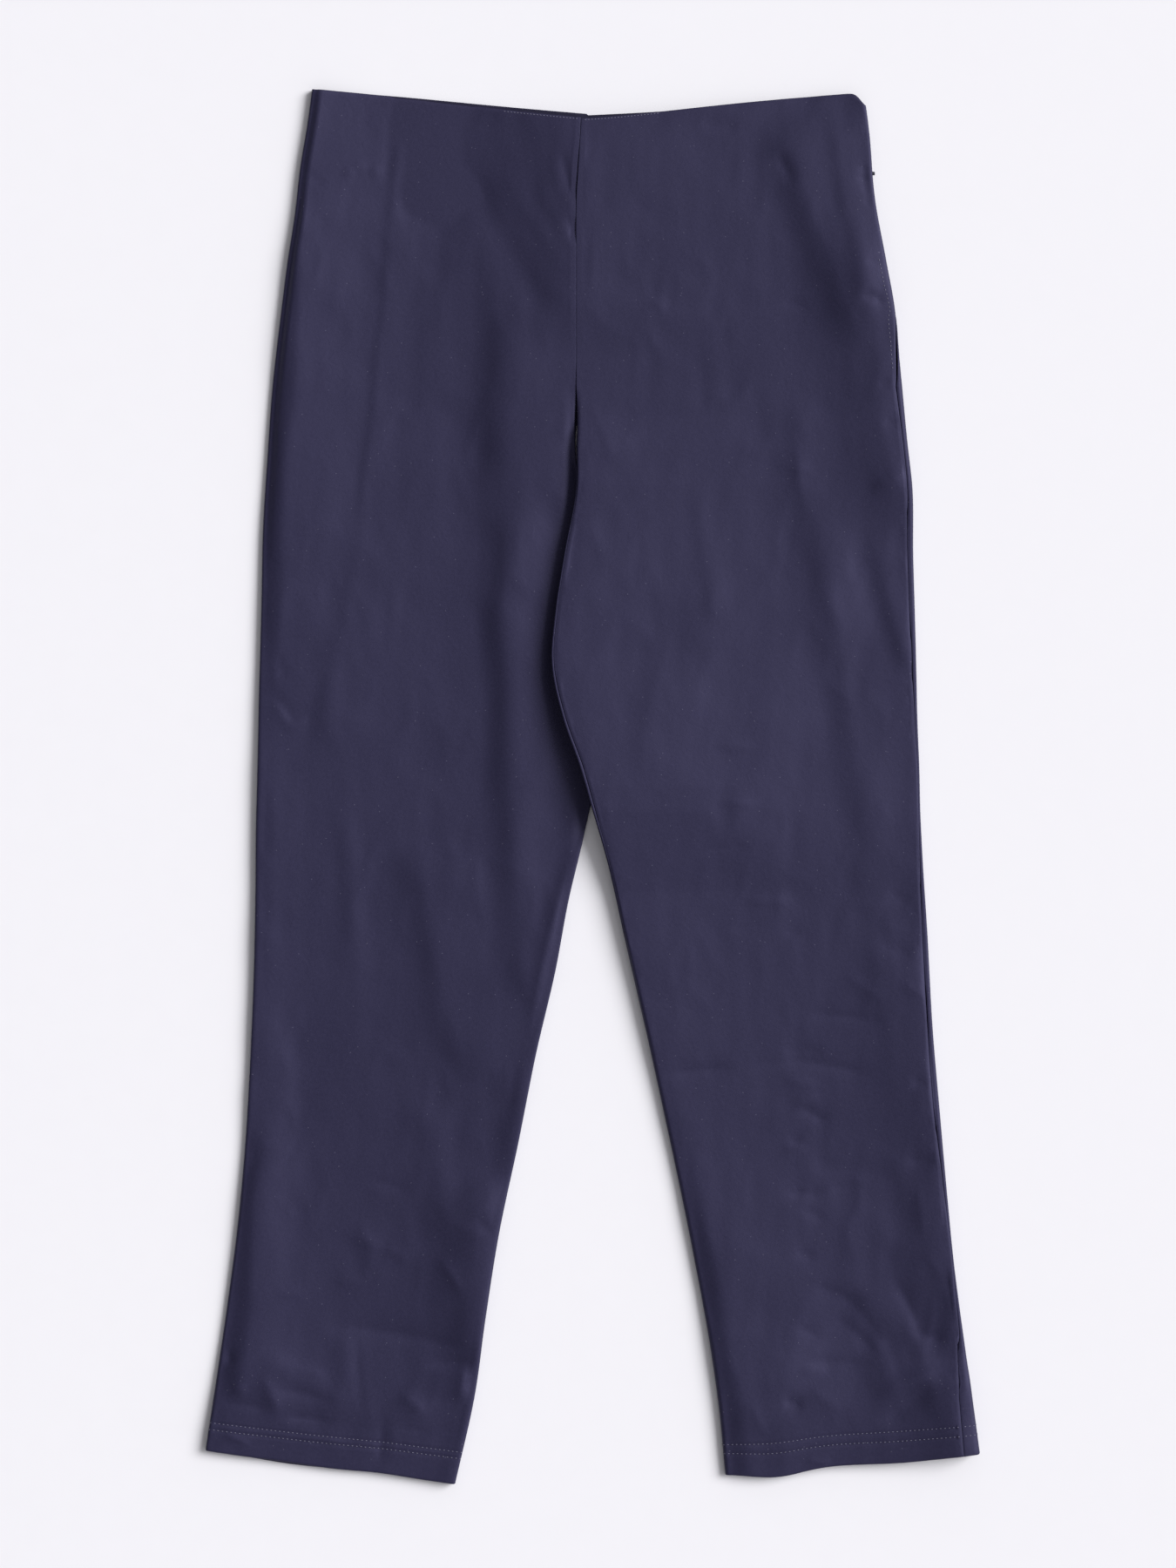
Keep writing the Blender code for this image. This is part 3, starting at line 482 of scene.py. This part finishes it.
def roundEdge(arcs, radius, depth, rolled, front, shape=1.0):
    quarter = math.pi * radius / 2
    angle = np.clip(arcs / radius, -math.pi / 2, math.pi / 2)
    beyond = np.maximum(np.abs(arcs) - quarter, 0.0)
    # A rolled edge is pressed a little squarer than a half circle
    inward = radius - (radius - depth) * np.cos(angle) ** shape + beyond
    height = radius + (radius - depth) * np.sign(angle) * np.abs(np.sin(angle)) ** shape
    flatIn = np.abs(arcs) * 2 / math.pi
    flatUp = 2 * radius - depth if front else depth
    return mix(flatIn, inward, rolled), mix(flatUp, height, rolled)


def pucker(down, distance, phase):
    # Small uneven ripples beside a seam, in millimetres
    wave = math.sin(down / ripple["short"] + phase)
    wave += ripple["longShare"] * math.sin(down / ripple["long"] + 2.1 * phase)
    swell = ripple["swellShare"]
    wave *= 1.0 - swell + swell * math.sin(down / ripple["swell"] + 1.7 * phase)
    return ripple["height"] * wave * np.exp(-distance / ripple["reach"])


def section(name, down, front, columns, depth=0.0, beyond=0.0):
    # Points across a panel's outer face, or a layer inside it at depth, from side seam to inseam
    row = Row(name, down, front)

    def edge(radius, seam, gap, rolled, column, y):
        # Places round one edge: way round it, way from its seam, depth, way inward and height
        arcs = edgeArcs(radius, seam, gap, front)
        away = np.abs(arcs - arcs[0])
        dip = lay["groove"] * mix(lay["flatGroove"], 1.0, rolled) if depth == 0.0 else 0.0
        deep = depth + dip * bell(away, lay["grooveWidth"])
        shape = float(readTable(row.leg["edges"], column, y))
        return arcs, away, deep, *roundEdge(arcs, radius, deep, rolled, front, shape)

    outerArcs, outerSeam, outerDepth, outerIn, outerUp = edge(
        row.outerRadius, row.seam, row.gap, 1.0, 2, row.outer[1]
    )
    innerArcs, innerSeam, innerDepth, innerIn, innerUp = edge(
        row.innerRadius, row.inseam, lay["seamGap"], row.rolled, 4, row.inner[1]
    )
    share = np.linspace(0.0, 1.0, columns + 1)
    eased = (1.0 - np.cos(math.pi * share)) / 2
    share = lay["evenShare"] * share + (1.0 - lay["evenShare"]) * eased
    start, end = outerIn[-1], row.width - innerIn[-1]
    inward = np.concatenate(
        [outerIn[:-1], start + (end - start) * share, (row.width - innerIn[:-1])[::-1]]
    )
    middle = np.full(columns + 1, depth)
    layer = np.concatenate([outerDepth[:-1], middle, innerDepth[:-1][::-1]])
    arc = np.concatenate(
        [outerSeam[:-1], outerSeam[-1] + (end - start) * share,
         outerSeam[-1] + end - start + (innerSeam[-1] - innerSeam[:-1])[::-1]]
    )
    bottom, top = row.faces(inward)
    if front:
        lying = top - layer
        if depth == 0.0:
            lying -= lay["topRound"] * bell(down, lay["topRoundReach"])
        edges = np.minimum(arc, arc[-1] - arc)
        lying += pucker(down, edges, row.leg["puckerStart"])
        if depth == 0.0 and row.toHem < lay["hemLevel"]:
            for outer, inner in hemRows[name]:
                off = row.toHem - outer - (inner - outer) * inward / row.width
                lying -= lay["stitchGroove"] * bell(off, lay["stitchGrooveWidth"])
    else:
        x, y = row.plan(inward)
        nearer = np.minimum(inward, row.width - inward)
        inside = smoothStep((nearer - row.outerRadius) / lay["backCreaseStart"])
        lying = bottom + layer + foldHeight(backCreases[name], x, y) * inside
    wrapped = top - layer
    height = lying.copy()
    count = len(outerArcs) - 1
    rolls = np.abs(outerArcs[:-1]) <= math.pi * row.outerRadius / 2
    height[:count] = np.where(rolls, row.outerBottom + outerUp[:-1], wrapped[:count])
    rolls = np.abs(innerArcs[:-1]) <= math.pi * row.innerRadius / 2
    height[-count:] = np.where(
        rolls[::-1], (row.innerBottom + innerUp[:-1])[::-1], wrapped[-count:]
    )
    x, y = row.plan(inward)
    points = np.stack([x + row.along[0] * beyond, y + row.along[1] * beyond, height], axis=1)
    return points, arc


def gridOf(lines):
    # A sheet's points and its flat map, from lines with their ways along the cloth and down it
    points, flat = [], []
    for line, arc, down in lines:
        points.append(line)
        flat.append(np.stack([arc, np.full_like(arc, -down)], axis=1))
    return np.array(points), np.array(flat)


def panelLines(name, front):
    # From the waist to the hem, round its fold and up inside it
    leg = legs[name]
    steps = frontMesh if front else backMesh
    foldLine = leg["length"] - lay["turnRadius"]
    plain, fine = lay["plainStart"], foldLine - lay["hemDepth"] - lay["hemMargin"]
    downs = list(lay["topRows"])
    downs += list(np.linspace(plain, fine, int((fine - plain) / steps["step"])))
    downs += list(np.linspace(fine, foldLine, steps["hemRows"]))[1:]
    layers = [(down, 0.0, 0.0, down) for down in downs]
    for part in range(1, lay["turnParts"]):
        angle = math.pi * part / lay["turnParts"]
        depth = lay["turnRadius"] * (1.0 - math.cos(angle))
        mapped = foldLine + lay["turnRadius"] * angle
        layers.append((foldLine, depth, lay["turnRadius"] * math.sin(angle), mapped))
    for up in np.linspace(0.0, lay["hemDepth"], lay["turnedRows"]):
        mapped = foldLine + lay["turnLength"] + up
        layers.append((foldLine - up, 2 * lay["turnRadius"], 0.0, mapped))
    for down, depth, beyond, mapped in layers:
        line, arc = section(name, down, front, steps["columns"], depth, beyond)
        yield line, arc - arc[-1] / 2, mapped


def addObject(name, data):
    made = bpy.data.objects.new(name, data)
    bpy.context.scene.collection.objects.link(made)
    return made


def addMesh(name, points, faces, material):
    mesh = bpy.data.meshes.new(name)
    mesh.from_pydata(points.tolist(), [], faces)
    mesh.shade_smooth()
    mesh.materials.append(material)
    return addObject(name, mesh)


def sheetPiece(name, points, flat, thickness, material, thickUp):
    # A grid of cloth in metres, with its flat cut as the UV map, made into an even shell
    rows, columns = points.shape[:2]
    index = np.arange(rows * columns).reshape(rows, columns)
    quads = np.stack(
        [index[:-1, :-1], index[:-1, 1:], index[1:, 1:], index[1:, :-1]], axis=-1
    ).reshape(-1, 4)
    a, b, c, d = (points.reshape(-1, 3)[quads[:, k]] for k in range(4))
    facesUp = np.cross(c - a, d - b)[:, 2].sum() > 0
    if facesUp == thickUp:
        quads = quads[:, ::-1]
    sheet = addMesh(name, points.reshape(-1, 3) * mm, quads.tolist(), material)
    layer = sheet.data.uv_layers.new(name="Cloth")
    layer.data.foreach_set("uv", (flat.reshape(-1, 2)[quads.ravel()] * mm).ravel())
    cloth = sheet.modifiers.new("Cloth thickness", "SOLIDIFY")
    cloth.thickness = thickness * mm
    cloth.offset = -1.0
    bpy.context.view_layer.objects.active = sheet
    bpy.ops.object.modifier_apply(modifier=cloth.name)
    return sheet


# Materials

def setInputs(tree, node, values):
    # An input takes another node's output, a colour or a number
    for key, value in values.items():
        if isinstance(value, bpy.types.NodeSocket):
            tree.links.new(value, node.inputs[key])
        else:
            node.inputs[key].default_value = (*value, 1.0) if isinstance(value, tuple) else value


def addNode(tree, kind, values, **settings):
    node = tree.nodes.new(kind)
    for key, value in settings.items():
        setattr(node, key, value)
    setInputs(tree, node, values)
    return node


def mathNode(tree, operation, *values):
    values = dict(enumerate(values))
    return addNode(tree, "ShaderNodeMath", values, operation=operation).outputs[0]


def mixColours(tree, factor, first, second):
    values = {0: factor, 6: first, 7: second}
    return addNode(tree, "ShaderNodeMix", values, data_type="RGBA").outputs[2]


def noiseFactor(tree, place, scale, detail, roughness=0.5, distortion=0.0):
    return addNode(tree, "ShaderNodeTexNoise", {
        "Vector": place, "Scale": scale, "Detail": detail, "Roughness": roughness,
        "Distortion": distortion,
    }).outputs["Fac"]


def newMaterial(name):
    material = bpy.data.materials.new(name)
    material.use_nodes = True
    tree = material.node_tree
    return material, tree, tree.nodes["Principled BSDF"]


# The weave: where a thread is tied, heights of its parts, and its noises in features per metre
weave = {
    "float": 0.4, "weft": 0.16, "tied": 0.82,
    "threadHeight": 0.35, "tiedDepth": 0.5, "yarnHeight": 0.5,
    "yarn": (("X", 1400.0), ("Y", 190.0)), "nap": 480.0, "crinkle": 170.0, "cloud": 14.0,
    "fleck": 150.0, "fleckSize": 0.055, "fleckShare": 0.5,
}


def sateenPatterns(tree, place, pitch):
    # Fine threads along the leg, with the short floats of a sateen, uneven yarns, nap and flecks
    calc = partial(mathNode, tree)
    apart = addNode(tree, "ShaderNodeSeparateXYZ", {0: place}).outputs
    across, along = (calc("DIVIDE", apart[axis], pitch) for axis in ("X", "Y"))
    thread = calc("SINE", calc("MULTIPLY", across, 2 * math.pi))
    floated = calc("MULTIPLY", calc("FLOOR", across), weave["float"])
    step = calc("ADD", floated, calc("MULTIPLY", along, weave["weft"]))
    tied = calc("GREATER_THAN", calc("FRACT", step), weave["tied"])
    rates = {axis: calc("MULTIPLY", apart[axis], rate) for axis, rate in weave["yarn"]}
    stretched = addNode(tree, "ShaderNodeCombineXYZ", rates).outputs[0]
    yarn = noiseFactor(tree, stretched, 1.0, 3.0, 0.6)
    fleck = addNode(tree, "ShaderNodeTexVoronoi", {"Vector": place, "Scale": weave["fleck"]})
    raised = calc("MULTIPLY", thread, weave["threadHeight"])
    raised = calc("SUBTRACT", raised, calc("MULTIPLY", tied, weave["tiedDepth"]))
    return {
        "height": calc("ADD", raised, calc("MULTIPLY", yarn, weave["yarnHeight"])),
        "yarn": yarn,
        "nap": noiseFactor(tree, place, weave["nap"], 6.0, 0.85),
        "fleck": calc("LESS_THAN", fleck.outputs["Distance"], weave["fleckSize"]),
        "crinkle": noiseFactor(tree, place, weave["crinkle"], 4.0, 0.6, 0.8),
        "cloud": noiseFactor(tree, place, weave["cloud"], 4.0, 0.55),
    }


sateen = {
    "colour": (0.0138, 0.0126, 0.0342),
    "light": (0.0262, 0.024, 0.0555),
    "dark": (0.008, 0.0074, 0.0218),
    "fleck": (0.105, 0.102, 0.15),
    "roughness": 0.6,
    "napGloss": 0.18,
    "surface": {
        "Specular IOR Level": 0.52, "Specular Tint": (0.57, 0.54, 0.92),
        "Sheen Weight": 0.03, "Sheen Roughness": 0.45, "Sheen Tint": (0.75, 0.74, 0.95),
    },
}
# How the patterns tint the cloth: from which value, how strongly and towards which colour
tints = (("yarn", 0.6, -0.9, "dark"), ("nap", 0.42, 1.9, "light"), ("cloud", 0.35, 0.5, "light"))


def sateenMaterial(name, look, pitch=0.0005, bump=0.25, shade=1.0):
    material, tree, shader = newMaterial(name)
    flat = addNode(tree, "ShaderNodeUVMap", {}, uv_map="Cloth").outputs[0]
    patterns = sateenPatterns(tree, flat, pitch)
    tones = {
        key: tuple(shade * value for value in look[key])
        for key in ("dark", "colour", "light", "fleck")
    }
    calc = partial(mathNode, tree)
    base = tones["colour"]
    for pattern, start, strength, tone in tints:
        share = calc("MULTIPLY", calc("SUBTRACT", patterns[pattern], start), strength)
        base = mixColours(tree, calc("MAXIMUM", share, 0.0), base, tones[tone])
    share = calc("MULTIPLY", patterns["fleck"], weave["fleckShare"])
    base = mixColours(tree, share, base, tones["fleck"])
    rough = calc("MULTIPLY", patterns["nap"], look["napGloss"])
    rough = calc("ADD", rough, look["roughness"] - look["napGloss"] / 2)
    raised = calc("ADD", calc("MULTIPLY", patterns["height"], 0.5), patterns["nap"])
    woven = {"Strength": bump, "Distance": 0.00012, "Height": raised}
    woven = addNode(tree, "ShaderNodeBump", woven).outputs[0]
    crinkled = {"Strength": 0.6, "Distance": 0.00022, "Height": patterns["crinkle"]}
    crinkled = addNode(tree, "ShaderNodeBump", {**crinkled, "Normal": woven}).outputs[0]
    values = {"Base Color": base, "Roughness": rough, "Normal": crinkled}
    setInputs(tree, shader, {**values, **look["surface"]})
    return material


def plainMaterial(name, colour, roughness, metallic=0.0, grain=0.04, scale=900.0, bump=0.1):
    # Even colour with a fine grain in its tone and in its gloss
    material, tree, shader = newMaterial(name)
    place = tree.nodes.new("ShaderNodeTexCoord")
    noise = noiseFactor(tree, place.outputs["Object"], scale, 3.0)
    low = tuple(value * (1.0 - 4 * grain) for value in colour)
    high = tuple(value * (1.0 + 4 * grain) for value in colour)
    rough = mathNode(tree, "ADD", mathNode(tree, "MULTIPLY", noise, 0.2), roughness - 0.1)
    grained = {"Strength": bump, "Distance": 0.00005, "Height": noise}
    setInputs(tree, shader, {
        "Base Color": mixColours(tree, noise, low, high), "Roughness": rough,
        "Metallic": metallic, "Normal": addNode(tree, "ShaderNodeBump", grained).outputs[0],
    })
    return material


frontCloth = sateenMaterial("Navy sateen, front", sateen)
backCloth = sateenMaterial("Navy sateen, back", sateen)
innerSide = {**sateen, "roughness": 0.7, "surface": {**sateen["surface"], "Sheen Weight": 0.06}}
# The facing's tones are scaled down to 0.42 of the cloth's: painted shade for the shadow in the
# recess above the front's waist edge
shadedFacingCloth = sateenMaterial("Navy sateen, inner side, painted shade", innerSide, shade=0.42)
threadMaterial = plainMaterial("Navy thread", (0.125, 0.12, 0.185), 0.6)
print("Materials made")

# Panels

panels, cuts = {}, {}
for name in legs:
    for front in (True, False):
        side = "front" if front else "back"
        points, flat = gridOf(panelLines(name, front))
        cloth = frontCloth if front else backCloth
        sheet = sheetPiece(f"{side}_{name}_cloth", points, flat, lay["wall"], cloth, not front)
        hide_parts(f"{side}_{name}")
        panels[side, name] = sheet
        widths = np.ptp(flat[:, :, 0], axis=1)
        wide, long = float(widths.max()) * mm, float(np.ptp(flat[:, 0, 1])) * mm
        cuts[side, name] = (wide, long, float(widths.mean()) * mm * long)
        print(f"{sheet.name}: {len(sheet.data.polygons)} faces, cut {wide:.3f} by {long:.3f} m")

# Waist facing, inside the back's upper edge

facing = {
    "height": 1.1, "wall": 0.7, "first": 0.3, "depth": 62.0,
    "starts": (("right", 4.0), ("left", 16.9)), "centreGap": 1.0, "columns": 44,
    "edges": (0.3, 0.7, 1.3, 2.2), "plainStart": 4.0, "rows": 26,
    "wave": {"height": 0.16, "across": 9.0, "slant": 17.0, "down": 21.0, "start": 0.6},
    "seamDip": 0.3, "seamWidth": 1.5,
}


def facingLines():
    lowest = facing["first"] + facing["depth"]
    wave = facing["wave"]
    plain = np.linspace(facing["plainStart"], lowest, facing["rows"])
    for down in [*facing["edges"], *plain]:
        halves = []
        for name, start in facing["starts"]:
            row = Row(name, down, False)
            share = np.linspace(0.0, 1.0, facing["columns"])
            x, y = row.plan(start + (row.width - facing["centreGap"] - start) * share)
            waving = np.sin(x / wave["across"] + down / wave["slant"])
            waving = wave["height"] * waving * np.sin(down / wave["down"] + wave["start"])
            seam = facing["seamDip"] * bell((1.0 - share) * row.width, facing["seamWidth"])
            height = facing["height"] + np.abs(waving) - seam
            halves.append(np.stack([x, y, height], axis=1))
        line = np.concatenate([halves[0], halves[1][::-1]])
        arc = runAlong(line[:, :2])
        yield line, arc - arc[-1] / 2, down


points, flat = gridOf(facingLines())
facingSheet = sheetPiece("back_facing_cloth", points, flat, facing["wall"], shadedFacingCloth, True)
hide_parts("back_waist_facing")
facingCut = (float(np.ptp(flat[:, :, 0])) * mm, facing["depth"] * mm)

# Side zip: tape, interlocked coil and slider

sideZip = {
    "start": 3.4, "width": 13.0, "from": 4.0, "length": 188.0, "height": 1.3, "wall": 0.5,
    "step": 2.0, "columns": 12, "wave": {"height": 0.12, "down": 26.0, "across": 9.0},
    "coilEnd": 4.0, "coilInward": 6.2, "coilHeight": 2.12, "pitch": 0.76,
    "tooth": (2.7, 0.52, 0.62), "toothShift": 0.32, "sliderDown": 54.0,
}


def tapeLines():
    start, end, wave = sideZip["start"], sideZip["start"] + sideZip["width"], sideZip["wave"]
    rows = int(sideZip["length"] / sideZip["step"])
    for down in np.linspace(sideZip["from"], sideZip["from"] + sideZip["length"], rows):
        row = Row("left", down, False)
        inward = np.linspace(start, end, sideZip["columns"])
        x, y = row.plan(inward)
        waving = np.sin(down / wave["down"] + inward / wave["across"])
        height = sideZip["height"] + wave["height"] * np.abs(waving)
        yield np.stack([x, y, height], axis=1), inward, down


def copiesOf(model, name, frames, material):
    # Copies of one model as one piece, each at its place and with its axes as the rows of a matrix
    shape = np.array([vertex.co for vertex in model.data.vertices])
    faces = [tuple(face.vertices) for face in model.data.polygons]
    placed, joined = [], []
    for place, axes in frames:
        first = len(placed) * len(shape)
        placed.append(place * mm + shape @ axes)
        joined += [tuple(first + corner for corner in face) for face in faces]
    return addMesh(name, np.concatenate(placed), joined, material)


def roundModel(size, segments, rings):
    # A small rounded bar at the origin, its length along X
    bpy.ops.mesh.primitive_uv_sphere_add(segments=segments, ring_count=rings, radius=0.5)
    model = bpy.context.object
    for vertex in model.data.vertices:
        x, y, z = vertex.co
        vertex.co = (z * size[0] * mm, y * size[1] * mm, -x * size[2] * mm)
    model.select_set(False)
    return model


def bevelledBox(size, centre, bevel, taper, material):
    # A bevelled box in the slider's own axes, with its outer end scaled by the taper
    bpy.ops.mesh.primitive_cube_add(size=1.0)
    box = bpy.context.object
    for vertex in box.data.vertices:
        x, y, z = (value * part for value, part in zip(vertex.co, size))
        if x < 0:
            y *= taper
        vertex.co = [(value + middle) * mm for value, middle in zip((x, y, z), centre)]
    edge = box.modifiers.new("Bevel", "BEVEL")
    edge.width = bevel * mm
    edge.segments = 3
    edge.limit_method = "ANGLE"
    bpy.ops.object.modifier_apply(modifier=edge.name)
    box.data.materials.append(material)
    box.data.shade_smooth()
    box.select_set(False)
    return box


def axesOf(row):
    x, y = row.across
    return np.array([[x, y, 0.0], [-y, x, 0.0], [0.0, 0.0, 1.0]])


coilMaterial = plainMaterial("Nylon coil", (0.02, 0.0195, 0.036), 0.42)
enamel = plainMaterial("Navy enamel", (0.018, 0.018, 0.032), 0.3, metallic=0.35, grain=0.01)
duller = {**sateen["surface"], "Specular IOR Level": 0.3}
tapeLook = {**sateen, "roughness": 0.72, "surface": duller}
tapeCloth = sateenMaterial("Zip tape", tapeLook, pitch=0.0009, shade=0.8)

points, flat = gridOf(tapeLines())
tape = sheetPiece("zip_tape_cloth", points, flat, sideZip["wall"], tapeCloth, True)
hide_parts("side_zip")

frames = []
coilStart = sideZip["from"] + sideZip["coilEnd"]
coilLength = sideZip["length"] - 2 * sideZip["coilEnd"]
for number in range(int(coilLength / sideZip["pitch"])):
    row = Row("left", coilStart + number * sideZip["pitch"], False)
    axes = axesOf(row)
    x, y = row.plan(np.array([sideZip["coilInward"]]))
    place = np.array([x[0], y[0], sideZip["coilHeight"]])
    place += axes[0] * sideZip["toothShift"] * (1 if number % 2 else -1)
    frames.append((place, axes))
toothModel = roundModel(sideZip["tooth"], 6, 7)
coil = copiesOf(toothModel, "zip_coil", frames, coilMaterial)
bpy.data.objects.remove(toothModel)
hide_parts("side_zip")

# Plate, two flanges, bridge and tab: size, centre, bevel, and the scale of the outer end
sliderBoxes = [
    ((4.4, 8.2, 0.75), (6.3, 0.0, 3.05), 0.3, 1.06),
    ((4.2, 0.9, 1.3), (6.3, 3.4, 2.45), 0.3, 1.0),
    ((4.2, 0.9, 1.3), (6.3, -3.4, 2.45), 0.3, 1.0),
    ((2.6, 1.5, 0.7), (6.0, 0.0, 3.65), 0.3, 1.0),
    ((5.6, 3.9, 0.62), (1.5, 0.0, 3.3), 0.28, 0.55),
]
sliderParts = [bevelledBox(*box, enamel) for box in sliderBoxes]
bpy.ops.object.select_all(action="DESELECT")
for part in sliderParts:
    part.select_set(True)
bpy.context.view_layer.objects.active = sliderParts[0]
bpy.ops.object.join()
slider = bpy.context.object
slider.name = "slider_and_tab"
row = Row("left", sideZip["sliderDown"], False)
for vertex in slider.data.vertices:
    vertex.co = np.array([*row.outer, 0.0]) * mm + np.array(vertex.co) @ axesOf(row)
bpy.ops.object.select_all(action="DESELECT")
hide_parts("zip_slider")
print("Facing and zip made")

# Stitches: rows of thread on the panels, each stitch a copy of one model

stitch = {
    "size": (1.3, 0.56, 0.46), "pitch": 2.9, "sink": 0.12, "overFloor": 0.7,
    "hemPatch": (22.0, 9.0), "hemBow": 0.3, "hemEnd": 1.0, "waistPatch": (0.3, 6.0),
    "waistPitch": 2.2, "waistRow": ((1.5, 54.0), (1.7, 2.0)), "seamPatch": (104.0, 200.0),
    "seamRow": (112.0, 130.0, 150.0, 168.0, 186.0), "seamInward": 5.5,
}


class Patch:
    # Part of a panel's face. A place on it is its way down and its way across from the side seam.
    def __init__(self, name, front, low, high, columns=110, step=1.5):
        count = max(3, int((high - low) / step) + 1)
        self.downs = np.linspace(low, high, count)
        made = [section(name, down, front, columns) for down in self.downs]
        self.points, self.arcs = (np.array(part) for part in zip(*made))
        self.name, self.front = name, front
        self.outward = (1.0 if name == "left" else -1.0) * (1.0 if front else -1.0)

    def place(self, down, arc):
        at = (down - self.downs[0]) / (self.downs[1] - self.downs[0])
        at = float(np.clip(at, 0.0, len(self.downs) - 1.001))
        index, share = int(at), at - int(at)
        ends = [readBetween(arc, self.arcs[k], self.points[k]) for k in (index, index + 1)]
        return mix(*ends, share)

    def arcAt(self, down, inward):
        index = int(np.searchsorted(self.downs, down))
        row = Row(self.name, self.downs[index], self.front)
        inwards = (self.points[index][:, :2] - row.outer) @ row.across
        return float(np.interp(inward, inwards, self.arcs[index]))

    def up(self, down, arc, reach=0.7):
        across = self.place(down, arc + reach) - self.place(down, arc - reach)
        along = self.place(down + reach, arc) - self.place(down - reach, arc)
        normal = np.cross(across, along) * self.outward
        return normal / np.linalg.norm(normal)

    def stitches(self, path, pitch=stitch["pitch"], spots=60, reach=0.8):
        # Frames of the stitches along a path of (down, arc) places
        path = np.array(path, dtype=float)
        dense = np.linspace(0.0, len(path) - 1, spots * (len(path) - 1) + 1)
        knots = np.arange(len(path))
        ways = readBetween(dense, knots, path)
        places = np.array([self.place(*way) for way in ways])
        run = runAlong(places)
        made = []
        for middle in np.arange(pitch / 2, run[-1], pitch):
            down, arc = readBetween(middle, run, ways)
            before, after = readBetween(np.array([middle - reach, middle + reach]), run, places)
            along = (after - before) / np.linalg.norm(after - before)
            up = self.up(down, arc)
            aside = np.cross(up, along)
            aside /= np.linalg.norm(aside)
            place = self.place(down, arc) + up * stitch["sink"]
            place[2] = max(place[2], stitch["overFloor"] * stitch["size"][1])
            made.append((place, np.array([along, aside, np.cross(along, aside)])))
        return made


rows = {}
for (side, name) in panels:
    length, end = legs[name]["length"], stitch["hemEnd"]
    patch = Patch(name, side == "front", *(length - above for above in stitch["hemPatch"]))
    wide = float(patch.arcs[:, -1].min())
    rows[side, name] = []
    for outer, inner in hemRows[name]:
        middle = length - (outer + inner) / 2 - stitch["hemBow"]
        path = [(length - outer, end), (middle, wide / 2), (length - inner, wide - end)]
        rows[side, name] += patch.stitches(path)

for name in legs:
    patch = Patch(name, True, *stitch["waistPatch"])
    wide = float(patch.arcs[:, -1].min())
    path = [(down, wide - inward) for down, inward in stitch["waistRow"]]
    rows["front", name] += patch.stitches(path, stitch["waistPitch"])
patch = Patch("left", True, *stitch["seamPatch"])
path = [(down, patch.arcAt(down, stitch["seamInward"])) for down in stitch["seamRow"]]
rows["front", "left"] += patch.stitches(path)

stitchModel = roundModel(stitch["size"], 6, 5)
seams = {}
for (side, name), frames in rows.items():
    seams[side, name] = copiesOf(stitchModel, f"{side}_{name}_stitches", frames, threadMaterial)
    print(f"{seams[side, name].name}: {len(frames)} stitches")
bpy.data.objects.remove(stitchModel)

for (side, name), sheet in panels.items():
    wide, long, area = cuts[side, name]
pieces = list(panels.values()) + list(seams.values()) + [facingSheet, tape, coil, slider]

# Camera, light and floor

view = {"centre": (-0.0026, 0.0017), "level": 0.005, "tall": 1.044, "away": 2.9, "sensor": 36.0}


def addCamera():
    camera = addObject("camera", bpy.data.cameras.new("camera"))
    camera.location = (*view["centre"], view["away"])
    camera.data.sensor_width = view["sensor"]
    camera.data.lens = view["sensor"] * (view["away"] - view["level"]) / view["tall"]
    camera.data.clip_start, camera.data.clip_end = 0.01, 20.0
    bpy.context.scene.camera = camera


light = {
    "sun": 3.5, "azimuth": 22.0, "elevation": 38.0, "angle": 36.0,
    "room": (0.985, 0.98, 1.0), "fill": 0.42, "lean": 0.95,
}


def addLight():
    sun = addObject("key light", bpy.data.lights.new("key light", "SUN"))
    sun.data.energy = light["sun"]
    sun.data.angle = math.radians(light["angle"])
    sun.rotation_euler = (
        0.0, math.radians(90.0 - light["elevation"]), math.radians(light["azimuth"])
    )
    world = bpy.data.worlds.new("studio")
    bpy.context.scene.world = world
    world.use_nodes = True
    tree = world.node_tree
    # The room is brighter on the side of the key light
    place = tree.nodes.new("ShaderNodeTexCoord").outputs["Generated"]
    apart = addNode(tree, "ShaderNodeSeparateXYZ", {0: place}).outputs
    leaning = mathNode(tree, "MULTIPLY", apart["X"], light["lean"] * light["fill"])
    strength = mathNode(tree, "ADD", leaning, light["fill"])
    setInputs(tree, tree.nodes["Background"], {"Color": light["room"], "Strength": strength})
    bpy.context.scene.view_settings.view_transform = "Standard"
    bpy.context.scene.view_settings.look = "None"


table = {"size": 6.0, "level": -0.00012, "colour": (0.83, 0.82, 0.86), "roughness": 0.8}


def addFloor():
    bpy.ops.mesh.primitive_plane_add(size=table["size"], location=(0.0, 0.0, table["level"]))
    floor = bpy.context.object
    floor.name = "floor"
    floor.data.materials.append(
        plainMaterial("Pale table", table["colour"], table["roughness"], 0.0, 0.002, 60.0, 0.02)
    )
    floor.select_set(False)


addCamera()
addLight()
addFloor()
print("Camera, light and floor made")

for piece in pieces:
    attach(piece, "root")
